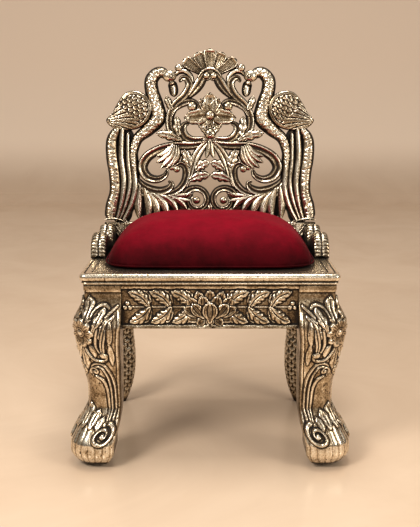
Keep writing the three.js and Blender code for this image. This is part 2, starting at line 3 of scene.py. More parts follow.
import bpy
import numpy as np
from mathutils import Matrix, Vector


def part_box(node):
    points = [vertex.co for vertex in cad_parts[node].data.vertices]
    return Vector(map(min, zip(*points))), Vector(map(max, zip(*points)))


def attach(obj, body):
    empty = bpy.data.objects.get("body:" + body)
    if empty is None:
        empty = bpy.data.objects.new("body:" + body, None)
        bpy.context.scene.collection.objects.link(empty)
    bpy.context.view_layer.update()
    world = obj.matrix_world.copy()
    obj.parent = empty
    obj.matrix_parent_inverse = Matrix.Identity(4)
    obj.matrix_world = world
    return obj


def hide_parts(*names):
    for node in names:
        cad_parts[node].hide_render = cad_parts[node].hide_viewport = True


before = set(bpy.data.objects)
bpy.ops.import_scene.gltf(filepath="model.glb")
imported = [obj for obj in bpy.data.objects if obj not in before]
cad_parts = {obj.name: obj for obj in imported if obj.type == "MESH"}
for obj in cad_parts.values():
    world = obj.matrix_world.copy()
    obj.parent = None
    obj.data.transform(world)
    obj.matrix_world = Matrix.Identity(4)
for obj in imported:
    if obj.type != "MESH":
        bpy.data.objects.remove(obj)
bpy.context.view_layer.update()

# A carved throne sheathed in old silver, with a loose velvet cushion.
# Shapes are worked out in millimetres, with the throne's own middle at x = y = 0, and every path
# or stroke is a list of points that hold across, up and width.

GAP = 0.3
SEAT_TOP = 466
SEAT_BOTTOM = 438
UNDER_SEAT = SEAT_BOTTOM - GAP
SEAT_HALF = (305, 250)
# the back leans from this line on the seat
BACK_PLANE = 205
BACK_RAKE = math.radians(5)
# a leg's sections are drawn as far from both middles, then moved forwards or backwards by this
LEG_SHIFT = 55
APRON_FIELD = 234
APRON_FOOT = 334
APRON_MIDDLE = 385
APRON_THICK = 22
ARM_OUTER = 303
ARM_WIDTH = 38

seat_low, seat_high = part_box("seat_board")
MIDDLE_Y = (seat_low[1] + seat_high[1]) / 2


# Small maths

def cubic(t, start, stop, start_slope, stop_slope):
    """A cubic from start to stop over t from 0 to 1, with the slopes given over the whole span."""
    return ((2 * t**3 - 3 * t**2 + 1) * start + (t**3 - 2 * t**2 + t) * start_slope
            + (3 * t**2 - 2 * t**3) * stop + (t**3 - t**2) * stop_slope)


def smooth_line(path, count):
    """Evenly spaced points on a smooth curve through path."""
    p = np.array(path, float)
    if len(p) == 2:
        return p[0] + (p[1] - p[0]) * np.linspace(0, 1, count)[:, None]
    gaps = np.sqrt(np.linalg.norm(np.diff(p[:, :2], axis=0), axis=1))
    knots = np.concatenate([[0], np.cumsum(gaps)])
    slope = np.diff(p, axis=0) / gaps[:, None]
    inner = slope[:-1] * gaps[1:, None] + slope[1:] * gaps[:-1, None]
    inner /= (gaps[1:] + gaps[:-1])[:, None]
    first = 1.5 * slope[0] - 0.5 * inner[0]
    last = 1.5 * slope[-1] - 0.5 * inner[-1]
    tangent = np.vstack([first, inner, last])
    fine = np.linspace(0, knots[-1], 24 * len(p))
    span = np.clip(np.searchsorted(knots, fine, side="right") - 1, 0, len(p) - 2)
    size = gaps[span][:, None]
    t = (fine - knots[span])[:, None] / size
    q = cubic(t, p[span], p[span + 1], size * tangent[span], size * tangent[span + 1])
    run = run_along(q)
    even = np.linspace(0, run[-1], count)
    return np.stack([np.interp(even, run, q[:, column]) for column in range(3)], axis=1)


def run_along(line):
    """The length walked up to each point of a line."""
    return np.concatenate([[0], np.cumsum(np.linalg.norm(np.diff(line[:, :2], axis=0), axis=1))])


def ease(low, high, value):
    t = np.clip((value - low) / (high - low), 0, 1)
    return t * t * (3 - 2 * t)


def bump_at(place, size, value):
    """A smooth bump of height 1 at place, about size to either side."""
    return np.exp(-((value - place) / size) ** 2)


def length_of(path):
    return run_along(smooth_line(path, 40))[-1]


def directions(line):
    """The direction of a line at each of its points."""
    along = np.gradient(line[:, :2], axis=0)
    return along / np.linalg.norm(along, axis=1)[:, None]


def spiral(centre, radii, degrees, widths, count=14):
    radius, angle, width = [np.linspace(*ends, count) for ends in (radii, np.radians(degrees), widths)]
    return np.stack([centre[0] + radius * np.cos(angle), centre[1] + radius * np.sin(angle), width], axis=1)


def circle(centre, radius, width):
    """A closed stroke round a small circle."""
    turn = np.linspace(0, 2 * math.pi, 15)
    x, y = centre
    return [[x + radius * math.cos(angle), y + radius * math.sin(angle), width] for angle in turn]


def leaf_path(start, end, width, bend=0.0, fullness=1.0):
    """A stalk, a full middle and a short tip, bent sideways by bend millimetres."""
    start, end = np.array(start, float), np.array(end, float)
    run = end - start
    side = np.array([-run[1], run[0]]) / np.hypot(*run)
    rows = []
    stalk, tip = 0.32, 1.2
    for t in np.linspace(0, 1, 9):
        share = math.sin(math.pi * t**fullness * 0.985 + 0.02) ** 0.62 if t > 0 else 0
        share = max(share, stalk * (1 - t))
        centre = start + run * t + side * bend * math.sin(math.pi * t)
        rows.append([centre[0], centre[1], max(width * share, tip)])
    return rows


def on_back(across, up, height):
    """Points of the back, whose height is measured forwards from its own leaning plane."""
    c, s = math.cos(BACK_RAKE), math.sin(BACK_RAKE)
    across, up, height = np.broadcast_arrays(across, up, height)
    return np.stack([across, BACK_PLANE - height * c + up * s, SEAT_TOP + height * s + up * c], axis=-1)


# Meshes

class Shape:
    """Gathers closed shells; relief is 0 deep in the carving and 1 on its ridges."""

    def __init__(self):
        self.points, self.quads, self.tris, self.relief = [], [], [], []
        self.count = 0

    def shell(self, points, relief, quads, tris):
        flat = points.reshape(-1, 3)
        a, b, c = flat[quads[:, 0]], flat[quads[:, 1]], flat[quads[:, 2]]
        d = flat[quads[:, 3]]
        volume = np.einsum("ij,ij->", a, np.cross(b, c)) + np.einsum("ij,ij->", a, np.cross(c, d))
        if len(tris):
            volume += np.einsum("ij,ij->", flat[tris[:, 0]], np.cross(flat[tris[:, 1]], flat[tris[:, 2]]))
        if volume < 0:
            quads, tris = quads[:, ::-1], tris[:, ::-1]
        self.points.append(flat)
        self.relief.append(relief.ravel())
        self.quads.append(quads + self.count)
        self.tris.append(tris + self.count)
        self.count += len(flat)

    def tube(self, points, relief):
        """A grid of rings, closed round each ring and capped at both ends."""
        rows, sides = points.shape[:2]
        index = np.arange(rows * sides).reshape(rows, sides)
        beside = np.roll(index, -1, axis=1)
        quads = np.stack([index[:-1], beside[:-1], beside[1:], index[1:]], axis=-1).reshape(-1, 4)
        ends = np.array([points[0].mean(axis=0), points[-1].mean(axis=0)])
        first, last = rows * sides, rows * sides + 1
        low = np.stack([np.full(sides, first), beside[0], index[0]], axis=-1)
        high = np.stack([np.full(sides, last), index[-1], beside[-1]], axis=-1)
        flat = np.vstack([points.reshape(-1, 3), ends])
        tone = np.concatenate([relief.ravel(), [relief[0].mean(), relief[-1].mean()]])
        self.shell(flat, tone, quads, np.vstack([low, high]))

    def mirror_into(self, other):
        """Repeats every shell in other, on the other side of x = 0."""
        for points, relief, quads, tris in list(zip(self.points, self.relief, self.quads, self.tris)):
            start = quads.min()
            other.shell(points * [-1, 1, 1], relief, quads - start, tris - start)

    def build(self, name, material, node):
        """Makes the piece in metres, in place of the solid of node."""
        points = np.vstack(self.points) * 0.001 + [0, MIDDLE_Y, 0]
        quads, tris = np.vstack(self.quads), np.vstack(self.tris)
        mesh = bpy.data.meshes.new(name)
        mesh.vertices.add(len(points))
        mesh.vertices.foreach_set("co", points.ravel())
        mesh.loops.add(quads.size + tris.size)
        mesh.loops.foreach_set("vertex_index", np.concatenate([quads.ravel(), tris.ravel()]))
        starts = np.concatenate([np.arange(len(quads)) * 4, quads.size + np.arange(len(tris)) * 3])
        mesh.polygons.add(len(starts))
        mesh.polygons.foreach_set("loop_start", starts)
        mesh.update(calc_edges=True)
        tone = mesh.attributes.new("relief", "FLOAT", "POINT")
        tone.data.foreach_set("value", np.clip(np.concatenate(self.relief), 0, 1))
        mesh.shade_smooth()
        mesh.materials.append(material)
        piece = bpy.data.objects.new(name, mesh)
        bpy.context.scene.collection.objects.link(piece)
        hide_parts(node)
        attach(piece, "root")
        return piece

    def build_pair(self, name, material):
        """The left piece as drawn and the right one mirrored, each in place of its own solid."""
        twin = Shape()
        self.mirror_into(twin)
        self.build(f"carved_{name}_left", material, f"{name}_left")
        twin.build(f"carved_{name}_right", material, f"{name}_right")


# Cross-sections: height over s, from -1 at one edge to 1 at the other, in shares of the crown

def through(*knots):
    places = np.array([knot[0] for knot in knots], float)
    heights = np.array([knot[1] for knot in knots], float)
    fine = np.linspace(-1, 1, 241)
    values = np.interp(fine, places, heights)
    kernel = np.hanning(15)
    padded = np.pad(values, 7, mode="edge")
    values = np.convolve(padded, kernel / kernel.sum(), mode="valid")
    return lambda s: np.interp(s, fine, values)


ROUND = through((-1, -1.1), (-0.85, -0.2), (-0.5, 0.7), (0, 1), (0.5, 0.7), (0.85, -0.2), (1, -1.1))
GROOVED = through((-1, -1.1), (-0.86, 0.2), (-0.6, 0.9), (-0.22, 0.75), (0, 0.05), (0.22, 0.75),
                  (0.6, 0.9), (0.86, 0.2), (1, -1.1))
RIMMED = through((-1, -1.1), (-0.86, 0.35), (-0.64, 1), (-0.42, 0.8), (-0.2, 0.25), (0.05, 0.2), (0.32, 0.5),
                 (0.52, 0.75), (0.64, 0.1), (0.78, 0.35), (1, -1.1))


def leaf_height(s, t, lobes=4):
    """A leaf's height in shares of its crown: a cut midrib, and a rounded lobe for every tooth.
    With no lobes it is a blade that rises to a ridge beside its middle."""
    a = np.abs(s)
    if lobes == 0:
        ridge = 0.15
        steep = 1 - 0.9 * (np.clip(s - ridge, 0, 1) / (1 - ridge)) ** 1.3
        gentle = 1 - 0.75 * ((s - ridge) / (1 + ridge)) ** 2
        cut = 0.25 * bump_at(-0.42, 0.09, s) * ease(0.1, 0.3, t)
        return np.where(s > ridge, steep, gentle) - 0.9 * a**10 - cut
    groove = bump_at(0.5, 0.15, (lobes * t - 0.7 * a + 0.2) % 1)
    body = 0.78 + 0.3 * np.sin(math.pi * np.clip(a * 0.9 + 0.08, 0, 1)) - 0.62 * a**2.6
    fade = ease(0.05, 0.2, t) * (1 - ease(0.88, 1, t)) * ease(0.12, 0.5, a)
    midrib = 0.45 * bump_at(0, 0.09, s) * (1 - 0.5 * t)
    return body - midrib - 0.34 * groove * fade - 0.9 * a**10


def leaf_edge(t, lobes=4, bite=0.24):
    """How far the outline stands out at t: a row of rounded teeth, with a notch at every groove."""
    if lobes == 0:
        return 1 + 0 * t
    notch = bump_at(0.5, 0.2, (lobes * t - 0.5) % 1)
    return 1.06 - bite * notch * ease(0.06, 0.2, t) * (1 - ease(0.86, 0.98, t))


def cupped(s, t, ribs=3):
    """A cupped petal: a bright rolled rim round a hollow with fine ribs."""
    a = np.abs(s)
    rim = bump_at(0.80, 0.16, a) * ease(0.1, 0.5, t)
    tip = bump_at(0.9, 0.09, t)
    rib = 0.13 * np.cos(ribs * 2 * math.pi * s) * ease(0.1, 0.3, t) * (a < 0.7)
    middle = -0.3 * bump_at(0, 0.07, s) * (1 - ease(0.7, 0.95, t))
    return 0.45 + 0.45 * rim + 0.3 * tip + rib + middle - 0.9 * a**9


# Swept work for the openwork: every stroke is a closed bar with a carved front and a plain back

# share of the half-width, share of the thickness and brightness, round a stroke's back
STROKE_BACK = np.array([
    (1, 0.35, 0), (0.97, 0.75, 0.1), (0.72, 0.97, 0.5), (0.4, 1, 0.6),
    (-0.4, 1, 0.6), (-0.72, 0.97, 0.5), (-0.97, 0.75, 0.1), (-1, 0.35, 0),
])


def sweep(shape, path, form, crown, thick=22, step=2.6, across=15, edge=None, lift=0.0, bright=0.8,
          round_ends=True):
    """A bar along path. form(s, t) gives its front's height in shares of the crown, s across and
    t along; bright under 1 lifts the middle tones, as where a stroke is rubbed all over."""
    count = max(int(length_of(path) / step), 8)
    line = smooth_line(path, count)
    along = directions(line)
    t = np.linspace(0, 1, count)[:, None]
    half = line[:, 2:3] / 2
    if edge is not None:
        half = half * edge(t)
    if round_ends:
        run = t * length_of(path)
        for reach, width in ((run, half[0]), (run[-1] - run, half[-1])):
            gap = np.clip(1 - reach / max(float(width[0]), 0.5), 0, 0.97)
            half = half * np.sqrt(1 - gap * gap)
    s = np.sin(np.linspace(-1, 1, across) * math.pi / 2)[None, :]
    share = form(s, t)
    tone = np.clip((share + 0.12) / 1.05, 0, 1) ** bright
    beside, depth, behind = [np.broadcast_to(column, (count, len(STROKE_BACK))) for column in STROKE_BACK.T]
    offset = np.hstack([np.broadcast_to(s, share.shape) * half, beside * half])
    height = np.hstack([crown * share + lift, -thick * depth])
    grid = on_back(line[:, 0:1] - along[:, 1:2] * offset, line[:, 1:2] + along[:, 0:1] * offset, height)
    shape.tube(grid, np.hstack([tone, behind]))


def uniform(profile):
    """A form with the same cross-section all along."""
    return lambda s, t: profile(s) + 0 * t


def band(shape, path, crown, profile, **options):
    sweep(shape, path, uniform(profile), crown, **options)


def ring(shape, centre, radius, width, crown, thick, lift):
    """A thin raised circle round an eye or a bud."""
    sweep(shape, circle(centre, radius, width), uniform(ROUND), crown, thick=thick, step=1.2, across=9,
          lift=lift, round_ends=False)


def leaf(shape, start, end, width, bend=0.0, crown=7, lobes=4, **options):
    path = leaf_path(start, end, width, bend)
    sweep(shape, path, lambda s, t: leaf_height(s, t, lobes), crown,
          edge=lambda t: leaf_edge(t, lobes), step=2.0, **options)


def knob(shape, centre, radii, sides=22, rings=12, tone=(0.1, 0.9)):
    """A round boss; its brightness runs from the first tone at the rim to the second in front."""
    pole = 0.06
    angle = np.linspace(pole, math.pi - pole, rings)[:, None]
    turn = np.linspace(0, 2 * math.pi, sides, endpoint=False)[None, :]
    out = np.sin(angle)
    unit = np.stack([out * np.cos(turn), -np.cos(angle) + 0 * turn, out * np.sin(turn)], axis=-1)
    front = np.clip(-unit[..., 1], 0, 1)
    shape.tube(np.array(centre) + unit * np.array(radii), tone[0] + (tone[1] - tone[0]) * front**0.5)


def boss(shape, across, up, radius, height=2.0):
    knob(shape, on_back(across, up, height), (radius, radius * 0.6, radius))


# Height-field work: strokes pressed into a fine grid

def stroke_frame(across, up, path):
    """For the grid points near a stroke: which they are, how far beside its line and past its ends
    they lie, the stroke's half-width there, and the share of its length."""
    step = 1.0
    count = max(int(length_of(path) / step), 12)
    line = smooth_line(path, count)
    along = directions(line)
    reach = line[:, 2].max() * 0.75 + 2
    near = ((across > line[:, 0].min() - reach) & (across < line[:, 0].max() + reach)
            & (up > line[:, 1].min() - reach) & (up < line[:, 1].max() + reach))
    a, u = across[near], up[near]
    da = a[:, None] - line[None, :, 0]
    du = u[:, None] - line[None, :, 1]
    best = np.argmin(da * da + du * du, axis=1)
    rows = np.arange(len(best))
    da, du = da[rows, best], du[rows, best]
    ahead = da * along[best, 0] + du * along[best, 1]
    beside = -da * along[best, 1] + du * along[best, 0]
    t = (best + np.clip(ahead / step, -0.5, 0.5)) / (count - 1)
    past = np.where((best == 0) | (best == count - 1), np.abs(ahead), 0)
    half = np.interp(t, np.linspace(0, 1, count), line[:, 2]) / 2
    return near, beside, past, half, np.clip(t, 0, 1)


def press(field, across, up, path, form, crown, edge=None):
    """Raises a stroke out of the field, with a fine dark cut all round it."""
    cut, cut_width = 0.8, 1.6
    near, beside, past, half, t = stroke_frame(across, up, path)
    if edge is not None:
        half = half * edge(t)
    s = np.sign(beside + 1e-9) * np.hypot(beside, past) / half
    rim = (np.abs(s) > 1) & (np.abs(s) * half < half + cut_width)
    height = crown * np.clip(form(np.clip(s, -1, 1), t), -0.25, 2)
    old = field[near]
    new = np.where(np.abs(s) <= 1, np.maximum(height, np.minimum(old - 0.3, 0.2)), old)
    field[near] = np.where(rim, old - cut, new)


def press_band(field, across, up, path, crown=4, profile=ROUND):
    press(field, across, up, path, uniform(profile), crown)


def press_leaf(field, across, up, start, end, width, bend=0.0, crown=5, lobes=4, bite=0.24):
    path = leaf_path(start, end, width, bend)
    press(field, across, up, path, lambda s, t: leaf_height(s, t, lobes), crown,
          edge=lambda t: leaf_edge(t, lobes, bite))


def press_petal(field, across, up, start, end, width, crown):
    path = leaf_path(start, end, width, fullness=1.15)
    press(field, across, up, path, lambda s, t: cupped(s, t, 2), crown)


def press_knob(field, across, up, centre, radius, height):
    gap = np.hypot(across - centre[0], up - centre[1])
    dome = height * np.sqrt(np.clip(1 - (gap / radius) ** 2, 0, 1))
    field[:] = np.where(gap < radius, np.maximum(field, 0) * 0.4 + dome, field)
    field -= 0.9 * ((gap >= radius) & (gap < radius + 1.8))


def scales(across, up, step, long, tilt=0.5, rib=0.3):
    """Overlapping scales with their free ends down; 0 in the cuts, about 1 at a free end."""
    wide = step * 0.52
    tall = wide * long
    row = tall * 1.05
    done = np.zeros(np.shape(across), bool)
    result = np.zeros(np.shape(across))
    first = np.floor(up / row)
    for above in (2, 1, 0, -1):
        index = first + above
        offset = np.where(index % 2 == 0, 0, step / 2)
        beside = across - (np.round((across - offset) / step) * step + offset)
        below = index * row - up
        gap = np.hypot(beside / wide, below / tall)
        rise = 0.5 + tilt * np.clip(below / tall, -0.6, 1)
        value = (1 - gap**7) * rise - rib * bump_at(0, 0.16 * wide, beside) * (1 - gap**2)
        take = (gap < 1) & ~done
        result = np.where(take, value, result)
        done |= take
    return result


def blur(field, radius, wrap=False):
    """A soft mean over radius cells each way; wrap joins the two ends of every row."""
    kernel = np.hanning(2 * radius + 3)[1:-1]
    kernel /= kernel.sum()
    for axis in (0, 1):
        mode = "wrap" if wrap and axis == 1 else "edge"
        pad = [(radius, radius) if k == axis else (0, 0) for k in (0, 1)]
        wide = np.pad(field, pad, mode=mode)
        size = field.shape[axis]
        field = sum(weight * np.take(wide, range(k, k + size), axis=axis) for k, weight in enumerate(kernel))
    return field


def relief_of(field, radius=5, depth=3.0, wrap=False, plain=0.62):
    """Brightness from a height field: ridges light, cuts dark, and plain where it is flat."""
    return np.clip(plain + (field - blur(field, radius, wrap)) / depth, 0, 1)


# Materials

class Paint:
    """The nodes of a material or of the world. A socket is filled with a value or with a link."""

    def __init__(self, owner, shader="Principled BSDF", where="Object"):
        owner.use_nodes = True
        self.tree = owner.node_tree
        self.shader = self.tree.nodes[shader]
        self.where = self.tree.nodes.new("ShaderNodeTexCoord").outputs[where]

    def fill(self, node, sockets):
        for key, value in sockets.items():
            if isinstance(value, bpy.types.NodeSocket):
                self.tree.links.new(value, node.inputs[key])
            else:
                node.inputs[key].default_value = value
        return node

    def node(self, kind, sockets, **settings):
        made = self.tree.nodes.new(kind)
        for key, value in settings.items():
            setattr(made, key, value)
        return self.fill(made, sockets)

    def maths(self, operation, *values):
        return self.node("ShaderNodeMath", dict(enumerate(values)), operation=operation).outputs[0]

    def height(self):
        return self.node("ShaderNodeSeparateXYZ", {0: self.where}).outputs["Z"]

    def noise(self, scale, detail=4.0, roughness=0.55, distortion=0.0):
        made = self.node("ShaderNodeTexNoise", {"Vector": self.where, "Scale": scale, "Detail": detail,
                                                "Roughness": roughness, "Distortion": distortion})
        return made.outputs["Fac"]

    def spread(self, value, low, high, to_low, to_high):
        made = self.node("ShaderNodeMapRange", {0: value, 1: low, 2: high, 3: to_low, 4: to_high},
                         interpolation_type="SMOOTHSTEP")
        return made.outputs[0]

    def ramp(self, value, stops):
        made = self.node("ShaderNodeValToRGB", {"Fac": value})
        elements = made.color_ramp.elements
        while len(elements) < len(stops):
            elements.new(0.5)
        for element, (place, colour) in zip(elements, stops):
            element.position = place
            element.color = (*colour, 1)
        return made.outputs["Color"]

    def bump(self, height, strength, distance, normal=None):
        sockets = {"Height": height, "Strength": strength, "Distance": distance}
        if normal is not None:
            sockets["Normal"] = normal
        return self.node("ShaderNodeBump", sockets).outputs["Normal"]


def old_silver(name, painted_light_share=1.0):
    """Silver, bright where it is rubbed on the high relief and brown-black in the hollows."""
    material = bpy.data.materials.new(name)
    paint = Paint(material)
    relief = paint.node("ShaderNodeAttribute", {}, attribute_name="relief").outputs["Fac"]
    hollow = paint.node("ShaderNodeAmbientOcclusion", {"Distance": 0.022}, samples=8).outputs["AO"]
    blotch = paint.noise(28, 5, 0.6)
    pits = paint.noise(150, 2, 0.5, 0.3)
    speck = paint.noise(260, 4, 0.65)
    worn = paint.spread(relief, 0.05, 0.95, 0.0, 1.0)
    worn = paint.maths("MULTIPLY", worn, paint.spread(hollow, 0.2, 0.95, 0.0, 1.0))
    for noise, low, high, darker, lighter in (
        (blotch, 0.3, 0.7, -0.10, 0.10), (speck, 0.35, 0.65, -0.12, 0.08), (pits, 0.63, 0.72, 0.0, -0.42),
    ):
        worn = paint.maths("ADD", worn, paint.spread(noise, low, high, darker, lighter))
    clean = paint.spread(worn, 0.08, 1.14, 0.0, 1.0)
    # the metal tones can be darkened all over, as painted shade for parts turned away from the lamps
    metal = [(0.52, (0.17, 0.115, 0.062)), (0.76, (0.46, 0.36, 0.235)), (1.0, (0.98, 0.89, 0.73))]
    colour = paint.ramp(clean, [
        (0.0, (0.008, 0.005, 0.003)),
        (0.28, (0.035, 0.019, 0.009)),
    ] + [(place, [painted_light_share * part for part in tone]) for place, tone in metal])
    roughness = paint.maths(
        "ADD", paint.spread(clean, 0.0, 0.9, 0.62, 0.22), paint.spread(speck, 0.3, 0.7, -0.04, 0.06))
    dents = paint.bump(paint.noise(90, 3, 0.5), 0.10, 0.002)
    grain = paint.bump(speck, 0.16, 0.0006, dents)
    paint.fill(paint.shader, {
        "Base Color": colour,
        "Metallic": paint.spread(clean, 0.0, 0.45, 0.45, 1.0),
        "Roughness": roughness,
        "Normal": grain,
    })
    return material


def velvet():
    """Red pile, painted lighter on top and darker towards the foot as painted light and shade, with random
    mottling.
    """
    material = bpy.data.materials.new("red_velvet")
    paint = Paint(material)
    pile = paint.noise(14, 5, 0.7)
    nap = paint.noise(1400, 2, 0.6)
    # painted shade: the pile is made darker towards the foot and lighter on top, as light from above falls on
    # it, with random mottling from the pile noise
    shade = paint.maths(
        "ADD", paint.spread(paint.height(), 0.470, 0.578, 0.0, 0.8), paint.spread(pile, 0.3, 0.7, -0.06, 0.2))
    colour = paint.ramp(shade, [
        (0.0, (0.022, 0.0002, 0.001)), (0.35, (0.065, 0.0003, 0.003)), (1.0, (0.21, 0.001, 0.010)),
    ])
    paint.fill(paint.shader, {
        "Base Color": colour,
        "Roughness": 0.72,
        "Sheen Weight": 0.11,
        "Sheen Roughness": 0.3,
        "Sheen Tint": (0.95, 0.07, 0.13, 1.0),
        "Specular IOR Level": 0.05,
        "Normal": paint.bump(nap, 0.35, 0.0008, paint.bump(pile, 0.2, 0.004)),
    })
    return material


SILVER = old_silver("antique_silver")
# a darker copy of the same silver: painted shade for the rear legs and the side and rear aprons
SHADED_SILVER = old_silver("antique_silver_painted_shade", 0.72)
VELVET = velvet()


# Seat board

def ring_of(half_width, half_depth, corner, z):
    """A rectangle with rounded corners; every ring has the same number of points on each side."""
    spacing = 5.0
    counts = [int(2 * size / spacing) for size in SEAT_HALF] * 2
    arcs = []
    for k, (way_x, way_y) in enumerate(((1, 1), (-1, 1), (-1, -1), (1, -1))):
        angle = np.radians(np.linspace(0, 90, 9) + 90 * k)
        arcs.append(np.stack([way_x * (half_width - corner) + corner * np.cos(angle),
                              way_y * (half_depth - corner) + corner * np.sin(angle)], axis=1))
    rows = []
    for arc, following, count in zip(arcs, arcs[1:] + arcs[:1], counts):
        share = np.linspace(0, 1, count + 1)[1:-1, None]
        rows += [arc, arc[-1] + (following[0] - arc[-1]) * share]
    flat = np.vstack(rows)
    return np.column_stack([flat, np.full(len(flat), z)])


SEAT_CORNER = 14
# inset from the widest line, drop below the top, brightness
SEAT_EDGE = [
    (300, 0.6, 0.8), (60, 0.6, 0.8), (34, 0.6, 0.85), (30, 0.4, 0.6), (28.5, 1.6, 0.05), (27, 0.4, 0.6),
    (25, 0.3, 0.9), (16, 0.2, 0.9), (13.5, 0.4, 0.6), (12, 1.5, 0.1), (10.5, 0.4, 0.6),
    # the roll
    (8.5, 0.1, 0.95), (6, 0.4, 1), (3.6, 1.4, 1), (1.7, 3.2, 1), (0.5, 5.7, 0.95), (0, 8.6, 0.85),
    (0.2, 11.4, 0.8), (1, 14, 0.75), (2.4, 16.2, 0.7), (4.4, 17.8, 0.5), (6.8, 18.6, 0.1), (7.2, 19.6, 0),
    # the small roll below it, and the plain underside
    (5.2, 20.4, 0.6), (4.2, 21.8, 0.95), (4.1, 23.4, 0.95), (4.9, 24.8, 0.8), (6.6, 25.8, 0.4),
    (8.4, 26.4, 0.1), (8.6, 28, 0.3), (60, 28, 0.3), (300, 28, 0.3),
]


def seat_board():
    shape = Shape()
    rings, tones = [], []
    for inset, drop, tone in SEAT_EDGE:
        inside = min(inset, SEAT_HALF[1] - 8)
        corner = max(SEAT_CORNER - inside / 2, 2)
        rings.append(ring_of(SEAT_HALF[0] - inside, SEAT_HALF[1] - inside, corner, SEAT_TOP - drop))
        tones.append(np.full(len(rings[-1]), tone))
    shape.tube(np.array(rings), np.array(tones))
    shape.build("moulded_seat_board", SILVER, "seat_board")


seat_board()


# Legs

# how much fuller the straps and leaves of the leg are drawn than their middle lines say
LEG_FULLNESS = 1.3

# height, outer face, inner face, radius of the outer corner
FRONT_LEG = np.array([
    [UNDER_SEAT, 295, 208, 6], [396, 297, 208, 16], [353, 318, 208, 52], [312, 321, 211, 78],
    [240, 305, 211, 58], [195, 294, 212, 42], [140, 292, 212, 36], [88, 321, 219, 49],
    [60, 334, 226, 54], [26, 330, 231, 52], [8, 312, 247, 40], [0, 293, 263, 22],
])
REAR_LEG = np.array([
    [UNDER_SEAT, 295, 208, 6], [340, 295, 208, 10], [305, 294, 212, 30], [272, 292, 213, 38],
    [239, 290, 216, 38], [206, 289, 219, 38], [173, 288, 216, 38], [140, 287, 214, 38],
    [107, 286, 214, 38], [74, 283, 218, 34], [42, 278, 226, 27], [16, 272, 236, 20], [0, 269, 243, 12],
])


def leg_sections(stations, z):
    """The three sizes of the section at each height z, on a smooth line through the stations."""
    known = stations[::-1, 0]
    sizes = []
    for column in (1, 2, 3):
        values = stations[::-1, column]
        slope = np.gradient(values, known)
        span = np.clip(np.searchsorted(known, z, side="right") - 1, 0, len(known) - 2)
        gap = known[span + 1] - known[span]
        step = np.diff(values)[span]
        # a slope against the step would make the line overshoot
        slopes = [np.where(step * slope[end] < 0, 0, slope[end]) * gap for end in (span, span + 1)]
        sizes.append(cubic((z - known[span]) / gap, values[span], values[span + 1], *slopes)[:, None])
    return sizes


def front_leg_grid(rows=276, face_columns=143, back_columns=10):
    """The carving runs round the outer corner, from inner edge to inner edge, u millimetres to
    either side of the corner's line. The two inner faces are plain, with rounded corners."""
    z = np.linspace(UNDER_SEAT, 0, rows)
    outer, inner, radius = leg_sections(FRONT_LEG, z)
    z = z[:, None]
    reach = radius * math.pi / 4
    width = reach + outer - radius - inner
    u = np.linspace(-1, 1, face_columns)[None, :] * width
    z_grid = np.broadcast_to(z, u.shape)
    field = front_leg_lift(u, z_grid, width)
    to_edge = width - np.abs(u)
    soft = 1.5 + 12.5 * (1 - ease(325, 350, z)) * ease(0, 30, z)
    rounding = soft - np.sqrt(soft**2 - np.clip(soft - to_edge, 0, soft) ** 2)
    height = blur(field, 1) * ease(0, 5, to_edge) - rounding
    round_part = np.clip(np.abs(u), 0, reach)
    angle = math.pi / 4 + round_part / radius
    main = outer - radius + (radius + height) * np.sin(angle)
    cross = outer - radius + (radius + height) * np.cos(angle) - (np.abs(u) - round_part)
    x = np.where(u >= 0, cross, main)
    y = np.where(u >= 0, main, cross)
    t = np.linspace(0, 1, back_columns)[None, :]
    far = outer - soft + (inner - outer + 2 * soft) * t
    bend = np.linspace(0, math.pi / 2, 8)[None, 1:-1]
    corner = inner + soft * (1 - np.cos(bend))
    xs = np.hstack([x, inner + 0 * far, corner, far[:, ::-1]])
    ys = np.hstack([y, far, corner[:, ::-1], inner + 0 * far])
    # the foot is painted brighter than the rest: a painted highlight over some rubbing
    tone = relief_of(field, 5, 3.9, plain=0.66) + 0.16 * (1 - ease(90, 125, z_grid))
    plain = np.full((rows, xs.shape[1] - face_columns), 0.62)
    points = np.stack([-xs, LEG_SHIFT - ys, np.broadcast_to(z, xs.shape)], axis=-1)
    return points, np.hstack([np.clip(tone, 0, 1), plain])


